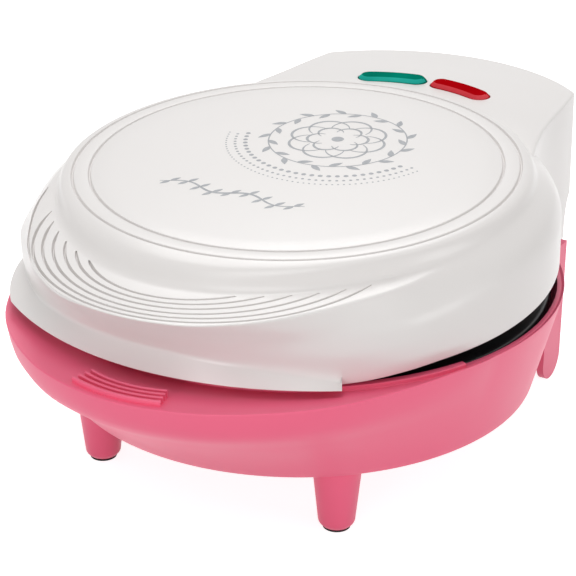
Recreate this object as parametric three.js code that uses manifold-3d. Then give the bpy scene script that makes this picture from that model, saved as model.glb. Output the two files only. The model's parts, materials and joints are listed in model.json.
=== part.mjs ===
// Mini cupcake maker with a hinged lid: seven cups below, seven domes above.
// Millimetres, +Z up. The bowl's axis is x = 0, y = 0, its handle ledge points to -Y, its hinge to +Y.
// The closed lid rests nose down, so it is drawn level and then turned about the hinge pins.
import * as THREE from 'three';
import { mergeVertices } from 'three/addons/utils/BufferGeometryUtils.js';
import Module from 'manifold-3d';

const wasm = await Module();
wasm.setup();

const { PI, sin, cos, abs, min, max } = Math;
const degrees = PI / 180;
const { lerp } = THREE.MathUtils;

// Gaps between pieces that rest, gaps between pieces that move, and how far cuts run past a face
const fit = 0.3;
const running = 0.8;
const overrun = 2;
// Degrees between the columns of the round bodies
const turnStep = 7.5;

// Bowl of the base
const bowl = {
  rimRadius: 103.3,
  rimHeight: 67.4,
  floorHeight: 27,
  flare: 10.1,
  wall: 2.4,
  edge: 1,
  land: 2.9,
  landDrop: 1,
};
// Inner rim that stands up behind the handle ledge
const innerRim = { rise: 1.8, thickness: 1.4, growth: 1.1, halfAngle: 64, turn: 0.5, chamfer: 0.4 };
// Handle ledge, its reach over the bowl given as shares at even steps from the middle
const ledge = { reach: 28, rise: 2, step: 12, endShare: 0.15, roofDrop: 4, roofSlope: 3 };
const ledgeShares = [1, 0.925, 0.75, 0.55, 0.31, 0.16, 0];
// Levels of the bowl's side between floor and edge, and how much of the ledge each one takes
const sideLevelShares = [0.255, 0.543, 0.784];
const sideReachShares = [0.3, 0.7, 1];
// Grip ribs on the ledge
const grip = {
  count: 4,
  pitch: 3.1,
  width: 1.5,
  height: 1.6,
  margin: 1.2,
  halfLength: 17.4,
  taper: 0.8,
  bow: 3,
  sink: 3,
};

// Front legs, in from the floor's edge at an angle from the front, with their pads
const leg = { inset: 10.96, angle: 39.13, topRadius: 9.4, footRadius: 6.8, toeRadius: 5.2, toe: 1.6 };
const pad = { height: 0.9, recess: 3, chamfer: 0.4 };
// Rear legs beside the lid's cheeks, ahead of the pins and below the rim, and the yoke that carries them
const rearLeg = { gap: 5.9, thickness: 3, ahead: 13.9, width: 18, drop: 7.4 };
const yoke = { height: 25, length: 50, wall: 3 };

// Hinge behind the bowl and below its rim, its lugs on the base and its cheeks on the lid
const hinge = { behind: 4.7, below: 11, pinRadius: 2.8, skin: 2 };
const lug = { inset: 13.3, width: 14, radius: 13, rootDepth: 24, rootRise: 11.5 };
const cheek = { radius: 17, bossRadius: 9, heelReach: 19.2, heelDrop: 8.5, heelRound: 5 };

// Cooking plates
const plate = { thickness: 2.2, skirt: 5, edge: 1.6, edgeGap: 2.4, margin: 11.5, drop: 2, gap: 0.71 };
const cup = { across: 3, web: 7, taper: 5.5, count: 6, sides: 20 };
const dome = { depth: 13, inset: 0.5, middleDraw: 5, crownDraw: 16, middleShare: 0.7 };

// Heating elements with their reflectors
const heater = { radius: 3.3, gapHalfAngle: 17, tail: 16, turns: 36, sides: 8 };
const reflector = { wallGap: 18.8, thickness: 0.8, rim: 1.8, standoff: 2, saddleWidth: 7, saddle: 1.2 };
const standoff = { radius: 3, inset: 6, count: 3, firstAngle: 90 };
// Screws that hold the plates, and the bosses round them
const fixing = {
  margin: 16,
  count: 3,
  firstAngle: 30,
  bossRadius: 5.5,
  postRadius: 4,
  postLength: 15,
  seat: 5,
  screwRadius: 1.7,
  headRadius: 3.9,
  headHeight: 2.2,
  headSink: 3,
  bite: 9,
};
const thermostat = { radius: 8, capRadius: 5.5, capShare: 0.45 };
const fuse = { radius: 2.2, length: 24, y: -30 };
const terminal = { width: 24, depth: 11, height: 9, wallGap: 5.3, wayWidth: 5, wayDepth: 3, ways: 3 };
const gland = { rise: 12.6, bore: 3, radius: 4.7, flangeRadius: 8, flange: 3.4, inside: 3 };
const vent = { count: 6, width: 3, length: 26, pitch: 9, y: 30 };

// Lid, drawn level, its axis a little behind the bowl's
const lid = {
  back: 0.8,
  tiltAngle: 3.145,
  inset: 2.5,
  draw: 7.3,
  plateDrop: 2.85,
  sideHeight: 31.15,
  wall: 2.4,
  edge: 1,
};
// Raised round plateau on top with two ring grooves; at the front it reaches further out
const plateau = {
  inset: 3.9,
  height: 6.8,
  swell: 0.4,
  crown: 1.3,
  foot: 1.4,
  round: 2.1,
  side: 3.4,
  reach: 5.5,
  step: 10,
};
const plateauShares = [1, 0.9, 0.62, 0.36, 0.12, 0];
const groove = { margin: 4.6, spacing: 6.5, width: 1.4, depth: 0.8 };
// Visor over the handle ledge. Its side has levels between edge and shelf, from the bottom: their
// heights, how far they reach forward and how far the round shoulder draws them in, all as shares
const visor = { step: 10, shelfReach: 30.5, edgeReach: 4.2, hollowShare: 0.75 };
const visorLevelShares = [0.197, 0.31, 0.422, 0.615, 0.84];
const visorReachShares = [0.203, 0.236, 0.269, 0.4, 0.68];
const shoulderDrawShares = [0, 0, 0, 0, 0.315];
// How the visor's reach fades with the angle from the front, at even steps
const visorTopShares = [1, 0.967, 0.803, 0.58, 0.354, 0.19, 0.057, 0.01, 0];
const visorMiddleShares = [1, 0.96, 0.8, 0.63, 0.51, 0.45, 0.22, 0.06, 0];
const visorLowShares = [1, 1, 0.93, 0.83, 0.75, 0.67, 0.36, 0.1, 0];
const visorEdgeShares = [1, 1, 1, 0.95, 0.86, 0.43, 0.05, 0.01, 0];
// Lip under the visor for the fingers
const lip = {
  halfAngle: 37,
  turn: 1,
  reach: 12.3,
  spread: 2.5,
  rise: 4.65,
  edge: 1,
  creaseReach: 8.2,
  creaseTaper: 2.4,
  creaseRise: 8.5,
  creaseDrop: 4.6,
};
// Arcs cut in the shelf, the outermost given by its ends and its front
const arc = {
  count: 6,
  endOffset: 0.9,
  endAngle: 44.9,
  stepAngle: 5.4,
  margin: 2.1,
  pitch: 2.92,
  width: 1.2,
  depth: 0.9,
  steps: 10,
};

// Block at the back of the lid that hides the hinge, its places measured from the pins
const block = {
  halfWidth: 60,
  neckAhead: 68,
  footAhead: 32,
  slopeAhead: 22,
  cornerBehind: 30,
  bow: 19,
  step: 0.5,
  rearDrop: 4.4,
  tuck: 7,
  wall: 3,
  steps: 8,
};
// Half width of the block from its neck to its corner, and the places where it is given
const blockWidthShares = [1.325, 1.237, 1.158, 1.103, 1.067, 1.033, 1];
const blockPlaceShares = [0, 0.153, 0.306, 0.459, 0.612, 0.816, 1];
// Signal lamps: arc-shaped lenses, lamps and their board
const lens = {
  ahead: 58.8,
  radius: 67.3,
  halfWidth: 4.8,
  startAngle: 1.1,
  endAngle: 27,
  rise: 1.6,
  bevel: 1,
  flange: 1.4,
  steps: 5,
};
const lamp = { radius: 2.6, length: 5 };
const board = { thickness: 1.6, halfWidth: 44, halfDepth: 6.5, screwX: 39 };
const cover = { rise: 2.15, thickness: 2, screwX: 40, screwBehind: 20 };

const finishes = {
  white: { color: 0xf0eeec, roughness: 0.28, metalness: 0 },
  pink: { color: 0xf0789a, roughness: 0.4, metalness: 0 },
  coating: { color: 0x17171a, roughness: 0.42, metalness: 0.1 },
  steel: { color: 0xb9bcc0, roughness: 0.35, metalness: 0.9 },
  tube: { color: 0x6d6a66, roughness: 0.5, metalness: 0.8 },
  rubber: { color: 0x161616, roughness: 0.85, metalness: 0 },
  green: { color: 0x0a9173, roughness: 0.15, metalness: 0 },
  red: { color: 0xc31923, roughness: 0.15, metalness: 0 },
  glass: { color: 0xe8e2d6, roughness: 0.1, metalness: 0 },
  laminate: { color: 0x8a7a45, roughness: 0.6, metalness: 0 },
  ceramic: { color: 0xe9e4d8, roughness: 0.6, metalness: 0 },
};

// Radii, places and heights of the base that follow from the sizes above
const landHeight = bowl.rimHeight - bowl.landDrop;
const cavityRadius = bowl.rimRadius - bowl.land;
const floorRadius = bowl.rimRadius - bowl.flare;
const floorTop = bowl.floorHeight + bowl.wall;
const ledgeTop = bowl.rimHeight + ledge.rise;
const plateRadius = cavityRadius - plate.edgeGap;
const lowerPlateTop = bowl.rimHeight - plate.drop;
const cupRadius = (plateRadius - plate.margin - cup.web) / cup.across;
const cupRing = cupRadius + cupRadius + cup.web;
const hingeY = bowl.rimRadius + hinge.behind;
const hingeZ = bowl.rimHeight - hinge.below;
const reflectorRadius = floorRadius - bowl.wall - reflector.wallGap;
const lowerReflector = floorTop + reflector.standoff + fit;
const lowerBed = lowerReflector + reflector.thickness + fit;
const lowerHeater = lowerReflector + reflector.thickness + reflector.saddle + fit + heater.radius;
const cupBottom = lowerHeater + heater.radius + fit;
const bossTop = lowerPlateTop - plate.thickness - fixing.postLength - fit;
const lowerScrewHead = bowl.floorHeight + fixing.headSink;
const terminalY = floorRadius - bowl.wall - terminal.wallGap - terminal.depth / 2;
const glandHeight = bowl.floorHeight + gland.rise;
const glandSeat = bowlRadius(glandHeight) - fit;
const rearLegRear = hingeY - rearLeg.ahead;
const rearLegTop = bowl.rimHeight - rearLeg.drop;

// Radii, places and heights of the lid, in its level position. The gap between the plates is taken
// at the front, where the turn about the pins brings them closest
const tilt = lid.tiltAngle * degrees;
const lidHingeY = hingeY - lid.back;
const plateNear = lowerPlateTop + plate.gap - hingeZ + sin(tilt) * (plateRadius + lidHingeY);
const upperPlateFace = hingeZ + plateNear / cos(tilt);
const domeTop = upperPlateFace + dome.depth + plate.thickness;
const upperHeater = domeTop + fit + heater.radius;
const upperReflector = upperHeater + heater.radius + fit + reflector.saddle + reflector.thickness;
const upperSeat = upperPlateFace + fixing.seat;
const lidRadius = bowl.rimRadius - lid.inset;
const shelfRadius = lidRadius - lid.draw;
const plateauRadius = shelfRadius - plateau.inset;
const outerGroove = plateauRadius - groove.margin;
const lidFoot = upperPlateFace + lid.plateDrop;
const shelfHeight = lidFoot + lid.sideHeight;
const plateauHeight = shelfHeight + plateau.height;
const crownHeight = plateauHeight + plateau.crown;
const lidRoof = plateauHeight - lid.wall;
const lipUnderside = lidFoot + lip.rise;
const blockNeck = hingeY - block.neckAhead;
const blockCorner = hingeY + block.cornerBehind;
const blockRear = blockCorner + block.bow;
const blockSlope = hingeY - block.slopeAhead;
const blockHeight = shelfHeight + block.step;
const cheekOutside = blockHalfWidth(lidHingeY);
const slotHalf = blockHalfWidth(lidHingeY - cheek.radius) + running;
const rearLegInside = slotHalf + rearLeg.gap;
const rearLegOutside = rearLegInside + rearLeg.thickness;
const lugOutside = cheekOutside - lug.inset;
const lugInside = lugOutside - lug.width;
const ceiling = blockTop(blockRear) - block.wall;
const lampTop = ceiling - lens.flange - fit - fit;
const boardTop = lampTop - lamp.length - fit;
const lensCentreY = hingeY - lens.ahead;
const partition = lidRadius + lid.wall / 2;
const coverBottom = lidFoot + cover.rise;
const coverTop = coverBottom + cover.thickness;

// A value from a table of shares at even steps of angle from the front
function shareAt(shares, step, angle) {
  const place = min(abs(angle) / step, shares.length - 1);
  const below = min(Math.floor(place), shares.length - 2);
  return lerp(shares[below], shares[below + 1], place - below);
}

// A closed geometry as a solid for joining and cutting
function solid(geometry) {
  geometry.deleteAttribute('normal');
  geometry.deleteAttribute('uv');
  const welded = mergeVertices(geometry);
  return new wasm.Manifold(new wasm.Mesh({
    numProp: 3,
    vertProperties: Float32Array.from(welded.attributes.position.array),
    triVerts: Uint32Array.from(welded.index.array),
  }));
}

function joined(...solids) {
  return solids.reduce((all, one) => all.add(one));
}

function cut(body, ...tools) {
  return tools.reduce((rest, tool) => rest.subtract(tool), body);
}

// A body round the Z axis whose outline may change with the angle from the front.
// outlineAt(angle) gives [radius, height] pairs, from the axis at the bottom to the axis at the top.
function turned(angles, outlineAt) {
  const outlines = angles.map(outlineAt);
  const rows = outlines[0].length - 2;
  const positions = [];
  outlines.forEach((outline, column) => {
    const around = (angles[column] - 90) * degrees;
    for (const [radius, height] of outline.slice(1, -1)) {
      positions.push(radius * cos(around), radius * sin(around), height);
    }
  });
  const bottom = positions.length / 3;
  positions.push(0, 0, outlines[0][0][1]);
  positions.push(0, 0, outlines[0][rows + 1][1]);
  const faces = [];
  angles.forEach((_, column) => {
    const here = column * rows;
    const next = ((column + 1) % angles.length) * rows;
    faces.push(bottom, next, here);
    for (let row = 0; row < rows - 1; row += 1) {
      faces.push(here + row, next + row, next + row + 1);
      faces.push(here + row, next + row + 1, here + row + 1);
    }
    faces.push(here + rows - 1, next + rows - 1, bottom + 1);
  });
  const geometry = new THREE.BufferGeometry();
  geometry.setAttribute('position', new THREE.Float32BufferAttribute(positions, 3));
  geometry.setIndex(faces);
  return solid(geometry);
}

// Angles from the front all the way round, with a close pair at each sudden step of the form
function anglesRound(end, turn) {
  const angles = new Set([-end - turn, -end, end, end + turn]);
  for (let angle = -180; angle < 180; angle += turnStep) angles.add(angle);
  return [...angles].sort((a, b) => a - b);
}

// An upright round post or cone between two heights
function post(bottomRadius, topRadius, bottom, top, [x, y] = [0, 0], sides = 20) {
  const geometry = new THREE.CylinderGeometry(topRadius, bottomRadius, top - bottom, sides);
  geometry.rotateX(PI / 2);
  geometry.translate(x, y, (bottom + top) / 2);
  return solid(geometry);
}

// A round bar along X
function crossBar(radius, from, to, y, z, sides = 24) {
  const geometry = new THREE.CylinderGeometry(radius, radius, to - from, sides);
  geometry.rotateZ(PI / 2);
  geometry.translate((from + to) / 2, y, z);
  return solid(geometry);
}

function box(fromX, toX, fromY, toY, fromZ, toZ) {
  const geometry = new THREE.BoxGeometry(toX - fromX, toY - fromY, toZ - fromZ);
  geometry.translate((fromX + toX) / 2, (fromY + toY) / 2, (fromZ + toZ) / 2);
  return solid(geometry);
}

// A plan outline raised between two heights
function prism(points, bottom, top) {
  const shape = new THREE.Shape(points.map(([x, y]) => new THREE.Vector2(x, y)));
  const geometry = new THREE.ExtrudeGeometry(shape, { depth: top - bottom, bevelEnabled: false });
  geometry.translate(0, 0, bottom);
  return solid(geometry);
}

// A side view outline in Y and Z carried along X
function slab(points, from, to) {
  const shape = new THREE.Shape(points.map(([y, z]) => new THREE.Vector2(y, z)));
  const geometry = new THREE.ExtrudeGeometry(shape, { depth: to - from, bevelEnabled: false });
  geometry.rotateY(PI / 2);
  geometry.rotateX(PI / 2);
  geometry.translate(from, 0, 0);
  return solid(geometry);
}

// Points on an arc, angles in degrees from the first axis
function arcPoints([x, y], radius, from, to, steps) {
  return Array.from({ length: steps + 1 }, (_, i) => {
    const angle = lerp(from, to, i / steps) * degrees;
    return [x + radius * cos(angle), y + radius * sin(angle)];
  });
}

// Places spread evenly on a ring round the axis, the first one at a given angle from +X
function ringPlaces(radius, count, first) {
  return arcPoints([0, 0], radius, first, first + 360, count).slice(0, count);
}

function addMesh(group, name, body, finish) {
  const { vertProperties, triVerts } = body.getMesh();
  const geometry = new THREE.BufferGeometry();
  geometry.setAttribute('position', new THREE.BufferAttribute(vertProperties, 3));
  geometry.setIndex(new THREE.BufferAttribute(triVerts, 1));
  geometry.computeVertexNormals();
  const mesh = new THREE.Mesh(geometry, new THREE.MeshStandardMaterial(finish));
  mesh.name = name;
  group.add(mesh);
}

// Radius of the bowl's side where there is no ledge
function bowlRadius(height) {
  const share = (height - bowl.floorHeight) / (bowl.rimHeight - bowl.floorHeight);
  return lerp(floorRadius, bowl.rimRadius, share);
}

// A level of the bowl's side: its radius with the ledge's share, and its height
function sideLevel(i, reach) {
  const height = lerp(bowl.floorHeight, ledgeTop, sideLevelShares[i]);
  return [bowlRadius(height) + reach * sideReachShares[i], height];
}

function bowlBody() {
  return turned(anglesRound(innerRim.halfAngle, innerRim.turn), (angle) => {
    const share = shareAt(ledgeShares, ledge.step, angle);
    const reach = ledge.reach * share;
    const grown = min(1, share / ledge.endShare);
    const edgeHeight = bowl.rimHeight + ledge.rise * grown;
    const rimOutside = cavityRadius + innerRim.thickness + innerRim.growth * grown;
    const rimRise = abs(angle) <= innerRim.halfAngle ? innerRim.rise : innerRim.chamfer;
    const rimTop = landHeight + rimRise;
    return [
      [0, bowl.floorHeight],
      [floorRadius - bowl.edge, bowl.floorHeight],
      [floorRadius, bowl.floorHeight + bowl.edge],
      sideLevel(0, reach),
      sideLevel(1, reach),
      sideLevel(2, reach),
      [bowl.rimRadius + reach, edgeHeight - bowl.edge],
      [bowl.rimRadius + reach - bowl.edge, edgeHeight],
      [rimOutside + innerRim.chamfer / 2, landHeight],
      [rimOutside, rimTop - innerRim.chamfer / 2],
      [rimOutside - innerRim.chamfer, rimTop],
      [0, rimTop],
    ];
  });
}

// Hollow of the bowl, which runs out under the ledge
function bowlHollow() {
  const roof = bowl.rimHeight - ledge.roofDrop;
  const eaves = roof - ledge.roofSlope;
  return turned(anglesRound(0, 0), (angle) => {
    const reach = ledge.reach * shareAt(ledgeShares, ledge.step, angle);
    const inner = [0, 1].map((i) => {
      const [radius, height] = sideLevel(i, reach);
      return [radius - bowl.wall, height];
    });
    return [
      [0, floorTop],
      [floorRadius - bowl.wall - bowl.edge, floorTop],
      [floorRadius - bowl.wall, floorTop + bowl.edge],
      ...inner,
      [bowlRadius(eaves) - bowl.wall + reach, eaves],
      [cavityRadius, roof],
      [cavityRadius, ledgeTop + overrun],
      [0, ledgeTop + overrun],
    ];
  });
}

// The grip ribs, bowed like the edge of the ledge
function gripRibs() {
  const first = bowl.rimRadius + ledge.reach - bowl.edge - grip.margin - grip.width / 2;
  const ribs = Array.from({ length: grip.count }, (_, i) => {
    const half = grip.halfLength - grip.taper * i;
    const radius = (half * half + grip.bow * grip.bow) / (grip.bow + grip.bow);
    const spread = Math.asin(half / radius) / degrees;
    const centre = [0, radius - first + grip.pitch * i];
    const outer = arcPoints(centre, radius + grip.width / 2, -90 - spread, -90 + spread, 8);
    const inner = arcPoints(centre, radius - grip.width / 2, -90 + spread, -90 - spread, 8);
    return prism([...outer, ...inner], ledgeTop - grip.sink, ledgeTop + grip.height);
  });
  return joined(...ribs);
}

function frontLeg(place) {
  const ankle = pad.height + leg.toe;
  return joined(
    post(leg.footRadius, leg.topRadius, ankle, bowl.floorHeight + bowl.edge, place, 24),
    post(leg.toeRadius, leg.footRadius, pad.height, ankle, place, 24),
  );
}

// Plan of the yoke, with a slot at the back for the lid's cheeks
function yokePlan(inset) {
  const outside = rearLegOutside - inset;
  const rear = rearLegRear - inset;
  const slot = slotHalf + inset;
  const slotEnd = hingeY - cheek.radius - running - inset;
  return [
    [-outside, hingeY - yoke.length],
    [outside, hingeY - yoke.length],
    [outside, rear],
    [slot, rear],
    [slot, slotEnd],
    [-slot, slotEnd],
    [-slot, rear],
    [-outside, rear],
  ];
}

function yokeBody() {
  const bottom = rearLegTop - yoke.height;
  const hollow = prism(yokePlan(yoke.wall), bottom - overrun, rearLegTop - yoke.wall);
  return cut(prism(yokePlan(0), bottom, rearLegTop), hollow);
}

function rearLegBody(from, to) {
  const radius = rearLeg.width / 2;
  const front = rearLegRear - rearLeg.width;
  const toe = arcPoints([rearLegRear - radius, radius], radius, 180, 360, 10);
  return slab([...toe, [rearLegRear, rearLegTop], [front, rearLegTop]], from, to);
}

function hingeLug(from, to) {
  const root = [
    [hingeY - lug.rootDepth, hingeZ - lug.radius],
    [hingeY, hingeZ - lug.radius],
    [hingeY, hingeZ + lug.radius],
    [hingeY - lug.rootDepth, hingeZ + lug.rootRise],
  ];
  return joined(slab(root, from, to), crossBar(lug.radius, from, to, hingeY, hingeZ));
}

function ventSlots() {
  return Array.from({ length: vent.count }, (_, i) => {
    const x = (i - (vent.count - 1) / 2) * vent.pitch;
    return box(
      x - vent.width / 2,
      x + vent.width / 2,
      vent.y - vent.length / 2,
      vent.y + vent.length / 2,
      bowl.floorHeight - overrun,
      floorTop + overrun,
    );
  });
}

// A round bar along Y through the back of the bowl
function glandBar(radius, from, to) {
  const geometry = new THREE.CylinderGeometry(radius, radius, to - from, 20);
  geometry.translate(0, (from + to) / 2, glandHeight);
  return solid(geometry);
}

const [[legX, legY]] = arcPoints([0, 0], floorRadius - leg.inset, leg.angle - 90, leg.angle - 90, 1);
const legPlaces = { left: [-legX, legY], right: [legX, legY] };
const fixingPlaces = ringPlaces(plateRadius - fixing.margin, fixing.count, fixing.firstAngle);
const standoffPlaces = ringPlaces(reflectorRadius - standoff.inset, standoff.count, standoff.firstAngle);
const cupPlaces = [[0, 0], ...ringPlaces(cupRing, cup.count, 0)];

function baseShell() {
  const outside = joined(
    bowlBody(),
    gripRibs(),
    frontLeg(legPlaces.left),
    frontLeg(legPlaces.right),
    yokeBody(),
    rearLegBody(rearLegInside, rearLegOutside),
    rearLegBody(-rearLegOutside, -rearLegInside),
    hingeLug(lugInside, lugOutside),
    hingeLug(-lugOutside, -lugInside),
  );
  const hollow = cut(outside, bowlHollow(), ...ventSlots());
  const foundation = bowl.floorHeight + bowl.edge;
  const bosses = fixingPlaces.map((place) => (
    post(fixing.bossRadius, fixing.bossRadius, foundation, bossTop, place, 16)
  ));
  const stands = standoffPlaces.map((place) => (
    post(standoff.radius, standoff.radius, foundation, lowerReflector - fit, place, 12)
  ));
  const headHole = fixing.headRadius + fit;
  const headEnd = lowerScrewHead + fixing.headHeight + fit;
  const shaftHole = fixing.screwRadius + fit;
  const pegHole = leg.toeRadius / 2;
  return cut(
    joined(hollow, ...bosses, ...stands),
    ...fixingPlaces.map((place) => post(headHole, headHole, 0, headEnd, place, 16)),
    ...fixingPlaces.map((place) => post(shaftHole, shaftHole, 0, bossTop + overrun, place, 12)),
    ...Object.values(legPlaces).map((place) => (
      post(pegHole, pegHole, 0, pad.height + pad.recess + fit, place, 16)
    )),
    crossBar(hinge.pinRadius + fit, -lugOutside - overrun, lugOutside + overrun, hingeY, hingeZ),
    glandBar(gland.radius + fit, 0, glandSeat + overrun),
    glandBar(gland.flangeRadius + fit, glandSeat, glandSeat + gland.flangeRadius),
  );
}

// The pad under a front leg, with a peg up into the leg
function footPad(place) {
  const peg = leg.toeRadius / 2 - fit;
  return joined(
    post(leg.toeRadius - pad.chamfer, leg.toeRadius, 0, pad.chamfer, place, 16),
    post(leg.toeRadius, leg.toeRadius, pad.chamfer, pad.height - fit, place, 16),
    post(peg, peg, pad.chamfer, pad.height + pad.recess, place, 8),
  );
}

// A flat round plate whose face lies at one height and whose skirt points up or down from it
function plateDisc(face, toSkirt) {
  const rim = [
    [plateRadius - plate.edge, face],
    [plateRadius, face + toSkirt * plate.edge],
    [plateRadius, face + toSkirt * plate.skirt],
  ];
  const levels = toSkirt < 0 ? rim.reverse() : rim;
  const disc = turned(anglesRound(0, 0), () => [[0, levels[0][1]], ...levels, [0, levels[2][1]]]);
  const inner = plateRadius - plate.thickness;
  const back = face + toSkirt * plate.thickness;
  const end = face + toSkirt * (plate.skirt + overrun);
  return cut(disc, post(inner, inner, min(back, end), max(back, end), [0, 0], 360 / turnStep));
}

function lowerPlate() {
  const cupFloor = cupBottom + plate.thickness;
  const bottomRadius = cupRadius - cup.taper;
  const slope = cup.taper / (lowerPlateTop - cupFloor);
  const mouth = cupRadius + slope * overrun;
  const web = lowerPlateTop - plate.thickness / 2;
  const outer = cupPlaces.map((place) => post(
    bottomRadius + plate.thickness,
    cupRadius + plate.thickness,
    cupBottom,
    web,
    place,
    cup.sides,
  ));
  const hollows = cupPlaces.map((place) => (
    post(bottomRadius, mouth, cupFloor, lowerPlateTop + overrun, place, cup.sides)
  ));
  const posts = fixingPlaces.map((place) => (
    post(fixing.postRadius, fixing.postRadius, bossTop + fit, web, place, 16)
  ));
  const hole = fixing.screwRadius + fit;
  const holes = fixingPlaces.map((place) => (
    post(hole, hole, bossTop - overrun, bossTop + fixing.bite + fit + fit, place, 12)
  ));
  return cut(joined(plateDisc(lowerPlateTop, -1), ...outer, ...posts), ...hollows, ...holes);
}

// A dome over one of the cups, from a height up, grown outwards by a wall
function domeBody(place, bottom, wall) {
  const middle = upperPlateFace + dome.depth * dome.middleShare + wall / 2;
  const top = upperPlateFace + dome.depth + wall;
  const mouthRadius = cupRadius - dome.inset + wall;
  const middleRadius = mouthRadius - dome.middleDraw;
  return joined(
    post(mouthRadius, middleRadius, bottom, middle, place, cup.sides),
    post(middleRadius, mouthRadius - dome.crownDraw, middle, top, place, cup.sides),
  );
}

function upperPlate() {
  const web = upperPlateFace + plate.thickness / 2;
  const domes = cupPlaces.map((place) => domeBody(place, web, plate.thickness));
  const hollows = cupPlaces.map((place) => domeBody(place, upperPlateFace - fit, 0));
  const seats = fixingPlaces.map((place) => (
    post(fixing.bossRadius, fixing.bossRadius, web, upperSeat, place, 16)
  ));
  const headHole = fixing.headRadius + fit;
  const headEnd = upperPlateFace + fixing.headHeight + fit + fit;
  const shaftHole = fixing.screwRadius + fit;
  return cut(
    joined(plateDisc(upperPlateFace, 1), ...domes, ...seats),
    ...hollows,
    ...fixingPlaces.map((place) => (
      post(headHole, headHole, upperPlateFace - overrun, headEnd, place, 16)
    )),
    ...fixingPlaces.map((place) => (
      post(shaftHole, shaftHole, upperPlateFace, upperSeat + overrun, place, 12)
    )),
  );
}

// A screw whose shaft points up from its head
function screw(place, head, tip) {
  const shaft = fixing.screwRadius;
  const middle = head + fixing.headHeight;
  return joined(
    post(fixing.headRadius, fixing.headRadius, head, middle, place, 12),
    post(shaft, shaft, middle - fit, tip, place, 8),
  );
}

// The tubular element: nearly a ring, with both ends led out to the back
function heatingElement(height) {
  const first = 90 + heater.gapHalfAngle;
  const last = 450 - heater.gapHalfAngle;
  const ring = arcPoints([0, 0], cupRing, first, last, heater.turns);
  const ends = [first, last].map((angle) => arcPoints([0, 0], cupRing + heater.tail, angle, angle, 1)[0]);
  const route = [ends[0], ...ring, ends[1]].map(([x, y]) => new THREE.Vector3(x, y, height));
  const section = new THREE.Shape();
  section.absarc(0, 0, heater.radius, 0, PI + PI, false);
  return solid(new THREE.ExtrudeGeometry(section, {
    steps: heater.turns,
    curveSegments: heater.sides / 2,
    extrudePath: new THREE.CatmullRomCurve3(route, false, 'centripetal'),
  }));
}

// A shallow sheet dish whose rim and saddles point towards the element
function reflectorDish(back, toElement) {
  const outside = reflectorRadius;
  const inside = outside - reflector.thickness;
  const face = back + toElement * reflector.thickness;
  const rim = back + toElement * reflector.rim;
  const past = rim + toElement * overrun;
  const seat = face + toElement * reflector.saddle;
  const disc = post(outside, outside, min(back, rim), max(back, rim), [0, 0], 48);
  const hollow = post(inside, inside, min(face, past), max(face, past), [0, 0], 48);
  const half = reflector.saddleWidth / 2;
  const saddles = ringPlaces(cupRing, fixing.count, fixing.firstAngle).map(([x, y]) => (
    box(x - half, x + half, y - half, y + half, min(back, seat), max(back, seat))
  ));
  return joined(cut(disc, hollow), ...saddles);
}

function thermostatBody() {
  const top = cupBottom - fit;
  const shoulder = lerp(top, lowerBed, thermostat.capShare);
  return joined(
    post(thermostat.radius, thermostat.radius, lowerBed, shoulder),
    post(thermostat.capRadius, thermostat.capRadius, shoulder - fit, top),
  );
}

function fuseBody() {
  const half = fuse.length / 2;
  return crossBar(fuse.radius, -half, half, fuse.y, lowerBed + fuse.radius, 12);
}

function terminalBlock() {
  const bottom = floorTop + fit;
  const top = bottom + terminal.height;
  const half = terminal.width / 2;
  const front = terminalY - terminal.depth / 2;
  const body = box(-half, half, front, front + terminal.depth, bottom, top);
  const ways = Array.from({ length: terminal.ways }, (_, i) => {
    const x = (i - (terminal.ways - 1) / 2) * (terminal.width / terminal.ways);
    return box(
      x - terminal.wayWidth / 2,
      x + terminal.wayWidth / 2,
      terminalY - terminal.depth,
      terminalY + terminal.depth,
      top - terminal.wayDepth,
      top + overrun,
    );
  });
  return cut(body, ...ways);
}

// The bush through which the supply enters
function cordGland() {
  const inner = glandSeat - bowl.wall - gland.inside;
  const outer = glandSeat + fit + gland.flange;
  const bush = joined(
    glandBar(gland.radius, inner, outer),
    glandBar(gland.flangeRadius, glandSeat + fit, outer),
  );
  return cut(bush, glandBar(gland.bore, inner - overrun, outer + overrun));
}

// Half width of the lid's block at a place between its neck and its corner
function blockHalfWidth(y) {
  const share = (y - blockNeck) / (blockCorner - blockNeck);
  const next = blockPlaceShares.findIndex((place) => place > share);
  const start = blockPlaceShares[next - 1];
  const between = (share - start) / (blockPlaceShares[next] - start);
  return block.halfWidth * lerp(blockWidthShares[next - 1], blockWidthShares[next], between);
}

// The block's top falls a little towards the back
function blockTop(y) {
  const share = max(0, (y - blockSlope) / (blockRear - blockSlope));
  return blockHeight - block.rearDrop * share;
}

// Plan of the block: two flanks drawn in like a neck, and a bowed back
function blockPlan(inset) {
  const right = blockPlaceShares.map((share, i) => [
    block.halfWidth * blockWidthShares[i] - inset,
    lerp(blockNeck, blockCorner - inset, share),
  ]);
  const left = right.map(([x, y]) => [-x, y]).reverse();
  const half = block.halfWidth - inset;
  const bow = blockRear - blockCorner;
  const radius = (half * half + bow * bow) / (bow + bow);
  const spread = Math.asin(half / radius) / degrees;
  const centre = [0, blockRear - inset - radius];
  const back = arcPoints(centre, radius, 90 - spread, 90 + spread, block.steps).slice(1, -1);
  return [...right, ...back, ...left];
}

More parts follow.
